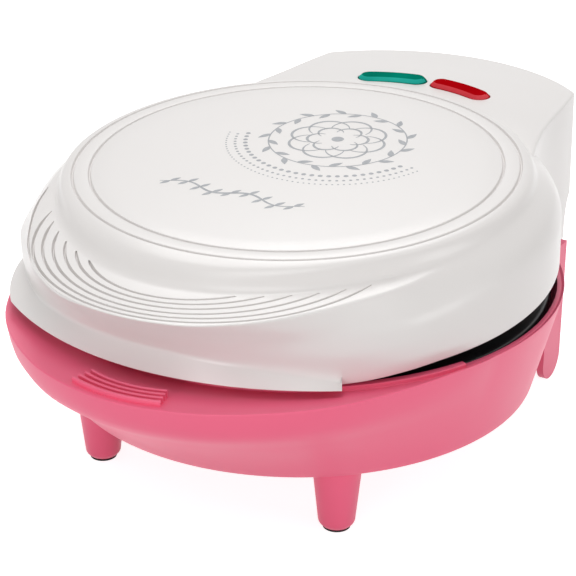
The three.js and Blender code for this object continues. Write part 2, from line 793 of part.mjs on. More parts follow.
// Side view of the block: cheek round the pin, hollow curve up to the back, sloping top
function blockSide() {
  const heelY = lidHingeY + cheek.heelReach;
  const heelZ = hingeZ - cheek.heelDrop;
  const far = blockRear + overrun;
  const foot = lidFoot + lid.edge;
  const underside = hingeZ + block.tuck;
  const front = arcPoints([lidHingeY, hingeZ], cheek.radius, 180, 290, 10);
  const heel = arcPoints([heelY - cheek.heelRound, heelZ], cheek.heelRound, 300, 360, 4);
  const sweep = arcPoints([0, 0], 1, 180, 90, 6).slice(1).map(([y, z]) => [
    blockCorner + y * (blockCorner - heelY),
    heelZ + z * (underside - heelZ),
  ]);
  return [
    ...front,
    ...heel,
    ...sweep,
    [far, underside],
    [far, blockTop(far)],
    [blockSlope, blockHeight],
    [blockNeck, blockHeight],
    [blockNeck, foot],
    [hingeY - block.footAhead, foot],
    [lidHingeY - cheek.radius, hingeZ + lug.radius + fit],
  ];
}

function blockBody() {
  const wide = block.halfWidth * blockWidthShares[0] + overrun;
  return prism(blockPlan(0), 0, crownHeight).intersect(slab(blockSide(), -wide, wide));
}

// Room inside the block, behind the round body and below its edge
function blockHollow() {
  return cut(
    prism(blockPlan(block.wall), -overrun, ceiling),
    post(partition, partition, lidFoot, crownHeight, [0, 0], 360 / turnStep),
  );
}

// A level of the lid's side at one angle: its outer and inner radius, and its height
function lidLevel(i, angle) {
  const shares = [visorLowShares, visorLowShares, visorLowShares, visorMiddleShares, visorTopShares][i];
  const forward = visor.shelfReach * visorReachShares[i] * shareAt(shares, visor.step, angle);
  const radius = lerp(lidRadius, shelfRadius, shoulderDrawShares[i]);
  return {
    outside: radius + forward,
    inside: radius - lid.wall + forward * visor.hollowShare,
    height: lerp(lidFoot, shelfHeight, visorLevelShares[i]),
  };
}

// The lid's outer side at one angle, from its edge up to the corner of the shelf
function lidSide(angle) {
  const [low, rise, middle, upper, top] = [0, 1, 2, 3, 4].map((i) => {
    const level = lidLevel(i, angle);
    return [level.outside, level.height];
  });
  const foot = lidRadius + visor.edgeReach * shareAt(visorEdgeShares, visor.step, angle);
  const shoulder = shelfRadius + visor.shelfReach * shareAt(visorTopShares, visor.step, angle);
  const corner = [shoulder, shelfHeight];
  if (abs(angle) > lip.halfAngle) {
    const edge = [foot, lidFoot + lid.edge];
    return [[foot, lidFoot], edge, low, rise, middle, upper, top, corner];
  }
  const away = (angle / lip.halfAngle) ** 2;
  const edge = lidRadius + lip.reach + lip.spread * away;
  const crease = lidRadius + lip.creaseReach - lip.creaseTaper * away;
  return [
    [foot, lidFoot],
    [foot + lip.edge / 2, lipUnderside],
    [edge - lip.edge / 2, lipUnderside],
    [edge, lipUnderside + lip.edge],
    [crease, lipUnderside + lip.creaseRise - lip.creaseDrop * away],
    upper,
    top,
    corner,
  ];
}

// A small V cut in the plateau
function ringGroove(radius) {
  const surface = lerp(crownHeight, plateauHeight + plateau.swell, radius / outerGroove);
  return [
    [radius + groove.width / 2, surface],
    [radius, surface - groove.depth],
    [radius - groove.width / 2, surface],
  ];
}

function lidBody() {
  return turned(anglesRound(lip.halfAngle, lip.turn), (angle) => {
    const edge = plateauRadius + plateau.reach * shareAt(plateauShares, plateau.step, angle);
    return [
      [0, lidFoot],
      ...lidSide(angle),
      [edge + plateau.foot, shelfHeight + fit],
      [edge, shelfHeight + plateau.side],
      [edge, plateauHeight - plateau.round],
      [edge - plateau.round, plateauHeight],
      ...ringGroove(outerGroove),
      ...ringGroove(outerGroove - groove.spacing),
      [0, crownHeight],
    ];
  });
}

function lidHollow() {
  return turned(anglesRound(0, 0), (angle) => {
    const edgeReach = visor.edgeReach * shareAt(visorEdgeShares, visor.step, angle);
    const mouth = lidRadius - lid.wall + edgeReach * visor.hollowShare;
    const [low, upper, top] = [0, 3, 4].map((i) => lidLevel(i, angle));
    const shoulder = shelfHeight - lid.wall;
    return [
      [0, lidFoot - overrun],
      [mouth, lidFoot - overrun],
      [low.inside, low.height],
      [upper.inside, upper.height],
      [top.inside, top.height],
      [top.inside - lid.wall - lid.wall, shoulder],
      [plateauRadius - lid.wall, shoulder],
      [plateauRadius - lid.wall - lid.wall, lidRoof],
      [0, lidRoof],
    ];
  });
}

// One arc cut in the shelf, the outermost first, through its two ends and its front
function shelfArc(index) {
  const angle = (arc.endAngle - arc.stepAngle * index) * degrees;
  const endRadius = shelfRadius + arc.endOffset;
  const endX = endRadius * sin(angle);
  const endY = endRadius * cos(angle);
  const front = shelfRadius + visor.shelfReach - arc.margin - arc.pitch * index;
  const centre = (endX * endX + endY * endY - front * front) / (endY - front) / 2;
  const radius = front - centre;
  const spread = Math.atan2(endX, endY - centre) / degrees;
  const outer = arcPoints([0, -centre], radius + arc.width / 2, -90 - spread, -90 + spread, arc.steps);
  const inner = arcPoints([0, -centre], radius - arc.width / 2, -90 + spread, -90 - spread, arc.steps);
  return prism([...outer, ...inner], shelfHeight - arc.depth, shelfHeight + fit + fit);
}

// Plan of a lens on the right or left side: an arc band with round ends, grown by a margin
function lensPlan(side, margin) {
  const middle = [0, lensCentreY];
  const half = lens.halfWidth + margin;
  const inset = lens.halfWidth / lens.radius / degrees;
  const near = 90 - lens.startAngle - inset;
  const far = 90 - lens.endAngle + inset;
  const [nearCentre] = arcPoints(middle, lens.radius, near, near, 1);
  const [farCentre] = arcPoints(middle, lens.radius, far, far, 1);
  const points = [
    ...arcPoints(middle, lens.radius + half, far, near, lens.steps),
    ...arcPoints(nearCentre, half, near, near + 180, lens.steps).slice(1, -1),
    ...arcPoints(middle, lens.radius - half, near, far, lens.steps),
    ...arcPoints(farCentre, half, far + 180, far + 360, lens.steps).slice(1, -1),
  ];
  return side > 0 ? points : points.map(([x, y]) => [-x, y]).reverse();
}

// Middle of a lens in plan
function lensPlace(side) {
  const angle = 90 - (lens.startAngle + lens.endAngle) / 2;
  const [[x, y]] = arcPoints([0, lensCentreY], lens.radius, angle, angle, 1);
  return [side * x, y];
}

function lensBody(side) {
  const bottom = ceiling - fit - lens.flange;
  const top = blockTop(lensPlace(side)[1]) + lens.rise;
  return joined(
    prism(lensPlan(side, lens.flange), bottom, ceiling - fit),
    prism(lensPlan(side, 0), bottom, top - lens.bevel),
    prism(lensPlan(side, -lens.bevel), bottom, top),
  );
}

const lensMiddleY = lensPlace(1)[1];
const boardPlaces = [-1, 1].map((side) => [side * board.screwX, lensMiddleY]);
const coverPlaces = [-1, 1].map((side) => [side * cover.screwX, hingeY + cover.screwBehind]);

function lidShell() {
  const arcs = Array.from({ length: arc.count }, (_, i) => shelfArc(i));
  const shell = cut(joined(lidBody(), blockBody()), lidHollow(), blockHollow(), ...arcs);
  const pinHole = hinge.pinRadius + fit;
  const blind = cheekOutside - hinge.skin;
  const bossStart = lugOutside + running;
  const bossEnd = cheekOutside - block.wall / 2;
  const roots = lidRoof + fit;
  const shaftHole = fixing.screwRadius + fit;
  const additions = [
    crossBar(cheek.bossRadius, bossStart, bossEnd, lidHingeY, hingeZ),
    crossBar(cheek.bossRadius, -bossEnd, -bossStart, lidHingeY, hingeZ),
    ...fixingPlaces.map((place) => (
      post(fixing.bossRadius, fixing.bossRadius, upperSeat + fit, roots, place, 16)
    )),
    ...standoffPlaces.map((place) => (
      post(standoff.radius, standoff.radius, upperReflector + fit, roots, place, 12)
    )),
    ...boardPlaces.map((place) => (
      post(fixing.postRadius, fixing.postRadius, boardTop + fit, ceiling + fit, place, 16)
    )),
    ...coverPlaces.map((place) => (
      post(fixing.postRadius, fixing.postRadius, coverTop + fit, ceiling + fit, place, 16)
    )),
  ];
  const screwHoles = [
    ...fixingPlaces.map((place) => [place, upperSeat]),
    ...boardPlaces.map((place) => [place, boardTop]),
    ...coverPlaces.map((place) => [place, coverTop]),
  ].map(([place, start]) => (
    post(shaftHole, shaftHole, start, start + fixing.bite + fit + fit, place, 12)
  ));
  return cut(
    joined(shell, ...additions),
    crossBar(pinHole, bossStart - overrun, blind, lidHingeY, hingeZ),
    crossBar(pinHole, -blind, overrun - bossStart, lidHingeY, hingeZ),
    ...screwHoles,
    prism(lensPlan(1, fit), ceiling - overrun, crownHeight),
    prism(lensPlan(-1, fit), ceiling - overrun, crownHeight),
  );
}

function lampBoard() {
  const hole = fixing.screwRadius + fit;
  const bottom = boardTop - board.thickness;
  const sheet = box(
    -board.halfWidth,
    board.halfWidth,
    lensMiddleY - board.halfDepth,
    lensMiddleY + board.halfDepth,
    bottom,
    boardTop,
  );
  return cut(sheet, ...boardPlaces.map((place) => (
    post(hole, hole, bottom - overrun, boardTop + overrun, place, 12)
  )));
}

function lampBody(side) {
  const place = lensPlace(side);
  const shoulder = lampTop - lamp.radius;
  return joined(
    post(lamp.radius, lamp.radius, lampTop - lamp.length, shoulder, place, 16),
    post(lamp.radius, lamp.radius / 2, shoulder, lampTop, place, 16),
  );
}

// The sheet that closes the block's lamp room from below
function hingeCover() {
  const clear = partition + running;
  const hole = fixing.screwRadius + fit;
  const sheet = cut(
    prism(blockPlan(block.wall + running), coverBottom, coverTop),
    post(clear, clear, coverBottom - overrun, coverTop + overrun, [0, 0], 360 / turnStep),
  );
  return cut(sheet, ...coverPlaces.map((place) => (
    post(hole, hole, coverBottom - overrun, coverTop + overrun, place, 12)
  )));
}

function buildBase(group) {
  const pinEnd = cheekOutside - hinge.skin - fit;
  addMesh(group, 'base_shell', baseShell(), finishes.pink);
  addMesh(group, 'front_foot_pad_left', footPad(legPlaces.left), finishes.rubber);
  addMesh(group, 'front_foot_pad_right', footPad(legPlaces.right), finishes.rubber);
  addMesh(group, 'lower_cooking_plate', lowerPlate(), finishes.coating);
  addMesh(group, 'lower_heating_element', heatingElement(lowerHeater), finishes.tube);
  addMesh(group, 'lower_reflector', reflectorDish(lowerReflector, 1), finishes.steel);
  addMesh(group, 'thermostat', thermostatBody(), finishes.ceramic);
  addMesh(group, 'thermal_fuse', fuseBody(), finishes.steel);
  addMesh(group, 'terminal_block', terminalBlock(), finishes.ceramic);
  addMesh(group, 'cord_gland', cordGland(), finishes.rubber);
  fixingPlaces.forEach((place, i) => {
    const body = screw(place, lowerScrewHead, bossTop + fixing.bite + fit);
    addMesh(group, `lower_plate_screw_${i + 1}`, body, finishes.steel);
  });
  const leftPin = crossBar(hinge.pinRadius, -pinEnd, -lugInside, hingeY, hingeZ);
  const rightPin = crossBar(hinge.pinRadius, lugInside, pinEnd, hingeY, hingeZ);
  addMesh(group, 'hinge_pin_left', leftPin, finishes.steel);
  addMesh(group, 'hinge_pin_right', rightPin, finishes.steel);
}

function buildLid(group) {
  addMesh(group, 'lid_shell', lidShell(), finishes.white);
  addMesh(group, 'upper_cooking_plate', upperPlate(), finishes.coating);
  addMesh(group, 'upper_heating_element', heatingElement(upperHeater), finishes.tube);
  addMesh(group, 'upper_reflector', reflectorDish(upperReflector, -1), finishes.steel);
  addMesh(group, 'green_ready_lens', lensBody(-1), finishes.green);
  addMesh(group, 'red_power_lens', lensBody(1), finishes.red);
  addMesh(group, 'green_lamp', lampBody(-1), finishes.glass);
  addMesh(group, 'red_lamp', lampBody(1), finishes.glass);
  addMesh(group, 'lamp_board', lampBoard(), finishes.laminate);
  addMesh(group, 'hinge_cover', hingeCover(), finishes.white);
  fixingPlaces.forEach((place, i) => {
    const body = screw(place, upperPlateFace + fit, upperSeat + fixing.bite + fit);
    addMesh(group, `upper_plate_screw_${i + 1}`, body, finishes.steel);
  });
  boardPlaces.forEach((place, i) => {
    const head = boardTop - board.thickness - fit - fixing.headHeight;
    const body = screw(place, head, boardTop + fixing.bite / 2);
    addMesh(group, `lamp_board_screw_${i + 1}`, body, finishes.steel);
  });
  coverPlaces.forEach((place, i) => {
    const body = screw(place, coverBottom - fit - fixing.headHeight, coverTop + fixing.bite);
    addMesh(group, `hinge_cover_screw_${i + 1}`, body, finishes.steel);
  });
}

// The base and the nose-down lid together, the middle of the whole over the origin
function cupcakeMaker() {
  const maker = new THREE.Group();
  buildBase(maker);
  const pivot = new THREE.Group();
  pivot.position.set(0, hingeY, hingeZ);
  pivot.rotation.x = tilt;
  const level = new THREE.Group();
  level.position.set(0, -lidHingeY, -hingeZ);
  buildLid(level);
  pivot.add(level);
  maker.add(pivot);
  const middle = new THREE.Box3().setFromObject(maker, true).getCenter(new THREE.Vector3());
  maker.position.y = -middle.y;
  return maker;
}

export default cupcakeMaker();
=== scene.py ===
"""Looks of a mini cupcake maker with a hinged lid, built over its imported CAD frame.

Shapes are written in millimetres about the bowl's axis, as in the part's source: +Z up, the handle
ledge towards -Y, the hinge towards +Y. The lid is drawn level and turned about the hinge pins.
Angles round the axis are degrees from the front, positive towards +X. In outlines, the third number
of a corner is the length that its rounding takes from the sides before and after it.
"""

import json
from math import asin, atan2, cos, degrees, hypot, pi, radians, sin
from types import SimpleNamespace as Sizes

import bmesh
import bpy
import numpy as np
from mathutils import Matrix, Vector
from mathutils.geometry import delaunay_2d_cdt

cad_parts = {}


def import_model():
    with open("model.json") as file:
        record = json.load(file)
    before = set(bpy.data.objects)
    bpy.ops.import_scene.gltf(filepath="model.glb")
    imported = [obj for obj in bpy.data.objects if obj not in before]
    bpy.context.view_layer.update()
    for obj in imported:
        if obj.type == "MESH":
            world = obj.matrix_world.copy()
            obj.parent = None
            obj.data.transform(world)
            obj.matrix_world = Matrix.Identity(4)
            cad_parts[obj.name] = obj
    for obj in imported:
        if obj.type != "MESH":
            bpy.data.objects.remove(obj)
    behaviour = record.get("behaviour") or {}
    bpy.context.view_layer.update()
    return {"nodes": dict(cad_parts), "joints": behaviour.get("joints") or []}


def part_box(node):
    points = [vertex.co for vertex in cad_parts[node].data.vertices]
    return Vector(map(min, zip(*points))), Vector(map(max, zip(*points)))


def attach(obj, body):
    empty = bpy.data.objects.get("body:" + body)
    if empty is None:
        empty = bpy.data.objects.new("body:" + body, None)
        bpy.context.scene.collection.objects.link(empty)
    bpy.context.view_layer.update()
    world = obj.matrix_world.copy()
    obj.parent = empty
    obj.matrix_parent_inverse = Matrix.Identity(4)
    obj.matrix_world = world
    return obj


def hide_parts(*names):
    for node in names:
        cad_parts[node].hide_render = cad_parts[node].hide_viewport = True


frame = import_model()

MM = 0.001
HINGE = Vector(frame["joints"][0]["pos_m"])
PLATE_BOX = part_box("lower_cooking_plate")
AXIS_Y = (PLATE_BOX[0].y + PLATE_BOX[1].y) / 2
LID_TILT = radians(3.145)
LID_BACK = 0.8
HINGE_Y = (HINGE.y - AXIS_Y) / MM
LID_HINGE_Y = HINGE_Y - LID_BACK
# Heights are drawn with the hinge pins at 58; what the maker stands on then lies at GROUND
HINGE_Z = 58
GROUND = HINGE_Z - HINGE.z / MM
BASE_PLACE = Matrix.Translation((0, AXIS_Y, -GROUND * MM)) @ Matrix.Scale(MM, 4)
LID_PLACE = (
    Matrix.Translation(HINGE)
    @ Matrix.Rotation(LID_TILT, 4, "X")
    @ Matrix.Scale(MM, 4)
    @ Matrix.Translation((0, -LID_HINGE_Y, -HINGE_Z))
)
CORNERS = ((-1, -1), (1, -1), (1, 1), (-1, 1))
GAP = 0.3
OVERRUN = 2  # how far a cutter runs past what it cuts

# Bowl of the base with its inner rim and the handle ledge
RIM_RADIUS, RIM_HEIGHT = 103.3, 69
FLOOR_RADIUS, FLOOR_HEIGHT = 93.2, 28.6
BOWL_WALL = 2.4
BOWL_LEVELS = [32, 36, 40, 44, 48, 50.5, 52, 53.5, 56, 59, 62, 65]
HOLLOW_LEVELS = [40, 52, 62]
CAVITY_RADIUS, CAVITY_ROOF = 100.4, 65
LAND_HEIGHT = 68
INNER_RIM = Sizes(
    angle=64, turn=0.4, rise=1.8, low_rise=0.4, thickness=1.4, growth=1.1,
    flare=0.2, width=6,
)
LEDGE_REACH, LEDGE_TOP = 28, 71
LEDGE_STEP = 12
LEDGE_SHARES = [1, 0.925, 0.75, 0.55, 0.31, 0.14, 0]
LEDGE_FULL_SHARE = 0.15
SIDE_HEIGHTS = [FLOOR_HEIGHT, 40, 52, 62, LEDGE_TOP]
SIDE_SHARES = [0, 0.3, 0.7, 1, 1]
RIB = Sizes(
    count=4, pitch=2.5, width=1.2, root=68, top=72.6, round=0.55,
    half=17.8, taper=0.8, bow=3, inset=3.4,
)
SINK = 1  # how far a joined form reaches into the next
LEG = Sizes(x=51.87, y=-63.8, top=9.4, foot=6.8, toe=5.2, ankle=2.5, pad=0.9, peg=2.3, peg_rise=3)
REAR_LEG = Sizes(inside=72.13, outside=75.13, front=76.1, rear=94.1, top=61.6)
YOKE = Sizes(front=58, bottom=36.6, wall=3, slot=66.2, slot_end=90.2)
LUG = Sizes(inside=36, outside=50, radius=13, root=24, rise=11.5)
PIN_RADIUS, PIN_END = 2.8, 60
VENT = Sizes(count=6, pitch=9, radius=1.5, front=17, rear=43)
GLAND = Sizes(height=41.2, bore=3, neck=4.7, flange=8, inward=5.7, outward=3.4)
GLAND_GROOVE = [(5.4, 0, 0.4), (4.8, 0.6, 0.3), (4.2, 0, 0.4)]

# Cooking plates; wells are corners of (radius, depth, rounding) from the mouth to the middle
PLATE = Sizes(radius=98, flat=92, thickness=2.2, skirt=5, edge=1.6)
LOWER_TOP, UPPER_FACE = 67, 79
CUP_CIRCLE, FIXING_CIRCLE = 60, 82
CUP = [(28.1, 0, 0), (26.6, 0, 1.2), (21.3, 22.3, 6), (0, 22.3, 0)]
DOME = [(27.6, 0, 0), (26, 0, 1.2), (23.4, 5, 4), (18.5, 9.6, 4), (10, 12.6, 4), (0, 13, 0)]
SCREW_SEAT = [(4.2, 0), (4.2, 2.8), (0, 2.8)]
FIXING = Sizes(
    boss=5.5, boss_top=49.2, head_hole=4.2, head_depth=5.5, shaft_hole=2,
    shaft_top=52, lower_head=3, lower_tip=58.8, upper_tip=93.3,
)
SCREW = Sizes(shaft=1.7, head=3.9, height=2.2, face=2.6, dome=0.9, slot=2.1, blade=0.38)

# Lid: round body with a visor, a raised plateau and a lip
LID_FOOT, LID_RADIUS, LID_WALL = 81.85, 100.8, 2.4
LID_TOE, WALL_TOP, WALL_ROWS = 83.6, 111.4, 12
SHELF_HEIGHT, SHELF_RADIUS = 113, 93.5
SHELF_END, SHELF_FADE = 78, 28
VISOR_STEP, VISOR_REACH = 10, 30.5
SIDE_LEVELS = [LID_FOOT, 88, 91.5, 95, 101, 108, SHELF_HEIGHT]
VISOR_TOP = [1, 0.967, 0.803, 0.58, 0.354, 0.19, 0.057, 0.01, 0]
VISOR_MIDDLE = [1, 0.96, 0.8, 0.63, 0.51, 0.45, 0.22, 0.06, 0]
VISOR_LOW = [1, 1, 0.93, 0.83, 0.75, 0.67, 0.36, 0.1, 0]
VISOR_EDGE = [1, 1, 1, 0.95, 0.86, 0.43, 0.05, 0.01, 0]
VISOR_SHARES = Sizes(foot=4.2, low=(0.203, 0.236, 0.269), middle=0.4, top=0.68)
LEAN = 0.315  # how far the side has come in at its sixth level
PLATEAU_SHARES = [1, 0.9, 0.62, 0.36, 0.12, 0]
PLATEAU_RADIUS, PLATEAU_REACH = 89.6, 5.5
PLATEAU_HEIGHT, CROWN_HEIGHT, CROWN_FALL = 119.8, 121.1, 0.9
PLATEAU_FOOT = Sizes(out=1.5, growth=2.6, back=115.2, front=0.2)
PLATEAU_SHOULDER = Sizes(height=118.9, growth=1.6)
PLATEAU_EDGE = Sizes(radius=87.6, rise=0.1)
CROWN_RADII = (70, 60, 50, 40, 30, 20, 10, 5)
GROOVE_RADII = (85, 78.5)
GROOVE = Sizes(half=0.6, floor=0.15, depth=1.1)
LID_HOLLOW = Sizes(share=0.75, shoulder=108, bevel=4.8, roof=110.6)
# The lip under the visor stops short on the right and fades out on the left
LIP = Sizes(angle=37, turn=0.4, radius=113.1, underside=86.5)
LIP_RIGHT = Sizes(spread=-2.6, sag=3.8, drop=11.6)
LIP_LEFT = Sizes(spread=2.5, sag=0, drop=6.9)
LIP_CREASE = Sizes(radius=109, taper=3.2, height=95, rise=3)
LIP_TAIL_STEP = 5.6
LIP_TAIL = [1, 0.8, 0.56, 0.32, 0.12, 0]
# Heights of the plain wall's foot and of where its upper rows begin, right and left of the lip
PLAIN_RIGHT, PLAIN_LEFT = (82.8, 86.4), (84, 91.1)
PLAIN_GAP = 0.4
# Fine arcs in the shelf, the outermost first, and the line along the shelf's left edge
ARC = Sizes(ends=94.3, growth=0.9, angle=44.9, step=5.4, depth=1.6, half=0.55)
ARC_FRONTS = [121.9, 119.4, 116.6, 113.4, 110.4, 107.3]
ARC_SECTION = ((-1.3, 0.3), (-1, 0), (-0.2, -1), (0.2, -1), (1, 0), (1.3, 0.3))
ARC_TAPER = Sizes(start=0.3, step=0.2)
EDGE_LINE = Sizes(first=-59, last=-6, inset=0.5)

# Block at the back of the lid
BLOCK = Sizes(neck=40, corner=136, rear=161, top=113.5, slope=86, fall=4)
BLOCK_UNDERSIDE, BLOCK_FOOT_FRONT, BLOCK_WALL = 65, 76, 3
BLOCK_EDGE, BLOCK_CORNER, BLOCK_BOTTOM = 1.1, 2.5, 30
BLOCK_WIDTHS = [79.5, 74.2, 69.5, 66.2, 64, 61.9, 59.6]
BLOCK_SHARES = [0, 0.156, 0.312, 0.469, 0.625, 0.833, 1]
CHEEK = Sizes(
    radius=17, brow=13.3, boss=9, heel=19.2, drop=8.5, round=5,
    boss_end=50.8, boss_sunk=1.5, hole_end=48.8, hole_wall=2,
)
LENS = Sizes(centre=55.5, radius=60.8, half=4.9, start=1.2, end=29.9, rise=1.9, flange=1.4)
# Margins and depths below the top of a lens's rounded edge, and how far up the faces look that get
# a painted highlight
LENS_EDGE = [(0, 2), (-0.25, 1.5), (-1.3, 0.35), (-1.7, 0.1), (-2.2, 0)]
LENS_HIGHLIGHT_FACES = (0.5, 0.84)
LAMP_HEIGHT = 5
BOARD = Sizes(thickness=1.6, screw_x=39, tip=4.5)
COVER = Sizes(bottom=84, top=86, play=0.8, hole=2, screw_x=40, screw_y=128, head=81.5, tip=95)
# Cutters that open a form to one side end out here, clear of everything
BEYOND = Sizes(bottom=20, top=130, rear=170, half=100)

# Print on the lid
INK_LIFT = 0.03
PRINT_CENTRE = (5, 24)
BLOSSOM_RADIUS = 19
BLOSSOM_ROUNDS = ((8, 1, 0), (6, 0.62, 20))
PETAL = Sizes(out=0.6, radius=0.42, spread=1.9, line=0.35, swell=0.75, heart=0.13)
WREATH = Sizes(radius=27, leaves=26, lean=38, length=6.4, width=2.5, line=0.55)
DOT_ENDS = (196, 344)
DOT_ROWS = ((36, 0.95, 29), (40, 0.6, 40), (43.5, 0.4, 52))
GARLAND = Sizes(x=-6, y=-38, half=30, height=2.2, wave=4.2, line=0.3, swell=0.9)
GARLAND_LEAF = Sizes(count=9, half=26.4, heading=60, length=4.6, width=1.8)

# Studio, in metres and watts
CAMERA = Sizes(angle=18.4617, azimuth=29.738, elevation=24.545)
CAMERA_PLACE = (0.3115, -0.5671, 0.3487)
LIGHTS = (
    ("key", (-0.6, 1.0, 1.4), 0.06, 0.9, 9.5),
    ("top", (0.1, -0.6, 1.8), 0.06, 1.0, 8),
    ("fill", (0.2, -1.7, 0.12), 0.05, 0.7, 8),
    ("side", (1.6, 0.1, 0.25), 0.07, 0.7, 4),
)
ROOM_LIGHT = 0.45
FLOOR = Sizes(half=3, tone=0.7, glow=0.85)


# Numbers and curves


def smooth_curve(xs, ys):
    """A monotone cubic curve through points, flat past its ends."""
    xs, ys = np.array(xs, float), np.array(ys, float)
    step = np.diff(xs)
    slope = np.diff(ys) / step
    tangent = np.zeros_like(ys)
    for i in range(1, len(xs) - 1):
        if slope[i - 1] * slope[i] > 0:
            a, b = 2 * step[i] + step[i - 1], step[i] + 2 * step[i - 1]
            tangent[i] = (a + b) / (a / slope[i - 1] + b / slope[i])
    tangent[0], tangent[-1] = slope[0], slope[-1]

    def value(x):
        x = min(max(x, xs[0]), xs[-1])
        i = min(int(np.searchsorted(xs, x, "right")) - 1, len(step) - 1)
        t = (x - xs[i]) / step[i]
        return (
            (1 + 2 * t) * (1 - t) ** 2 * ys[i]
            + t * (1 - t) ** 2 * step[i] * tangent[i]
            + t * t * (3 - 2 * t) * ys[i + 1]
            + t * t * (t - 1) * step[i] * tangent[i + 1]
        )

    return value


def round_curve(shares, step):
    """A curve over the angle from the front, the same to both sides, from shares at even steps."""
    angles = [-step] + [step * i for i in range(len(shares))]
    curve = smooth_curve(angles, [shares[1]] + list(shares))
    return lambda angle: curve(min(abs(angle), angles[-1]))


def mix(a, b, share):
    return a + (b - a) * share


def rounded(corners, steps=3):
    """An outline whose corners (x, y, cut) are rounded from a length cut before and after them."""
    points = []
    for i, (x, y, cut) in enumerate(corners):
        here = np.array((x, y), float)
        if cut == 0 or i in (0, len(corners) - 1):
            points.append(tuple(here))
            continue
        before = np.array(corners[i - 1][:2], float) - here
        after = np.array(corners[i + 1][:2], float) - here
        near, far = np.linalg.norm(before), np.linalg.norm(after)
        start = here + before / near * min(cut, near * 0.48)
        end = here + after / far * min(cut, far * 0.48)
        for k in range(steps + 1):
            t = k / steps
            points.append(tuple((1 - t) ** 2 * start + 2 * t * (1 - t) * here + t * t * end))
    return points


def arc(centre, radius, first, last, steps):
    """Points on a circle, angles in degrees from the first axis."""
    turns = [radians(mix(first, last, i / steps)) for i in range(steps + 1)]
    return [(centre[0] + radius * cos(a), centre[1] + radius * sin(a)) for a in turns]


# Meshes


def mesh_object(name, verts, faces):
    mesh = bpy.data.meshes.new(name)
    mesh.from_pydata([tuple(v) for v in verts], [], faces)
    mesh.validate()
    obj = bpy.data.objects.new(name, mesh)
    bpy.context.scene.collection.objects.link(obj)
    return obj


def outward(obj):
    """Turns all faces of a closed mesh outwards."""
    bm = bmesh.new()
    bm.from_mesh(obj.data)
    bmesh.ops.recalc_face_normals(bm, faces=bm.faces)
    bm.to_mesh(obj.data)
    bm.free()
    return obj


def turned(name, angles, outline):
    """A closed body round Z; outline(angle) gives (radius, height) from axis to axis, upwards."""
    outlines = [outline(a) for a in angles]
    rows = len(outlines[0]) - 2
    verts = []
    for angle, points in zip(angles, outlines):
        right, ahead = sin(radians(angle)), -cos(radians(angle))
        verts += [(r * right, r * ahead, z) for r, z in points[1:-1]]
    bottom = len(verts)
    verts += [(0, 0, outlines[0][0][1]), (0, 0, outlines[0][-1][1])]
    faces = []
    for column in range(len(angles)):
        here, there = column * rows, (column + 1) % len(angles) * rows
        faces.append((bottom, there, here))
        faces += [(here + r, there + r, there + r + 1, here + r + 1) for r in range(rows - 1)]
        faces.append((here + rows - 1, there + rows - 1, bottom + 1))
    return outward(mesh_object(name, verts, faces))


def spread_angles(step, end=None, turn=0):
    """Angles all the way round, with a close pair at each sudden step of the form."""
    count = round(360 / step)
    angles = {round(-180 + i * 360 / count, 6) for i in range(count)}
    if end:
        angles |= {-end - turn, -end, end, end + turn}
    return sorted(angles)


def lathe(name, outline, sides, place=(0, 0)):
    """A closed round body with the same outline all round, its axis upright through place."""
    obj = turned(name, spread_angles(360 / sides), lambda _: outline)
    obj.data.transform(Matrix.Translation((place[0], place[1], 0)))
    return obj


def post(name, radius, bottom, top, place=(0, 0), sides=48):
    return lathe(name, [(0, bottom), (radius, bottom), (radius, top), (0, top)], sides, place)


def bands(first, rows, n):
    """Faces that join rows of n points each, the rows following each other from the first point."""
    return [
        (a + i, a + (i + 1) % n, a + n + (i + 1) % n, a + n + i)
        for a in range(first, first + (rows - 1) * n, n)
        for i in range(n)
    ]


def skin(name, loops):
    """A closed body through loops of equally many points, capped by its first and last loop."""
    n = len(loops[0])
    last = (len(loops) - 1) * n
    caps = [tuple(range(n))[::-1], tuple(range(last, last + n))]
    verts = [p for loop in loops for p in loop]
    return outward(mesh_object(name, verts, caps + bands(0, len(loops), n)))


def prism(name, points, bottom, top):
    """A plan outline raised between two heights."""
    return skin(name, [[(x, y, z) for x, y in points] for z in (bottom, top)])


def slab(name, points, start, end):
    """A side view outline in Y and Z carried along X."""
    return skin(name, [[(x, y, z) for y, z in points] for x in sorted((start, end))])


def bar(name, radius, start, end, y, z, sides=48):
    """A round bar along X."""
    return slab(name, arc((y, z), radius, 0, 360, sides)[:-1], start, end)


def combine(body, operation, *tools):
    """Joins tools to a body, or cuts them from it, and leaves the result as the body's mesh."""
    for tool in tools:
        modifier = body.modifiers.new("combine", "BOOLEAN")
        modifier.operation = operation
        modifier.solver = "MANIFOLD"
        modifier.object = tool
    evaluated = body.evaluated_get(bpy.context.evaluated_depsgraph_get())
    mesh = bpy.data.meshes.new_from_object(evaluated)
    body.modifiers.clear()
    body.data = mesh
    for tool in tools:
        bpy.data.objects.remove(tool)
    return body


def join(body, *others):
    return combine(body, "UNION", *others)


def cut(body, *tools):
    return combine(body, "DIFFERENCE", *tools)


def shade(obj, crease=32):
    """Smooth shading with edges left sharp above an angle in degrees."""
    bm = bmesh.new()
    bm.from_mesh(obj.data)
    bmesh.ops.remove_doubles(bm, verts=bm.verts, dist=0.002)
    bmesh.ops.dissolve_degenerate(bm, edges=bm.edges, dist=0.002)
    for face in bm.faces:
        face.smooth = True
    for edge in bm.edges:
        edge.smooth = edge.calc_face_angle(0) < radians(crease)
    bm.to_mesh(obj.data)
    bm.free()
    return obj


def placed(obj, place, body, material, node=None, slot=None, crease=32):
    """Puts a finished piece in the row frame, on its body, for the CAD node that it replaces."""
    shade(obj, crease)
    obj.data.transform(place)
    obj.data.materials.clear()
    obj.data.materials.append(material)
    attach(obj, body)
    if node:
        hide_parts(node)
    return obj


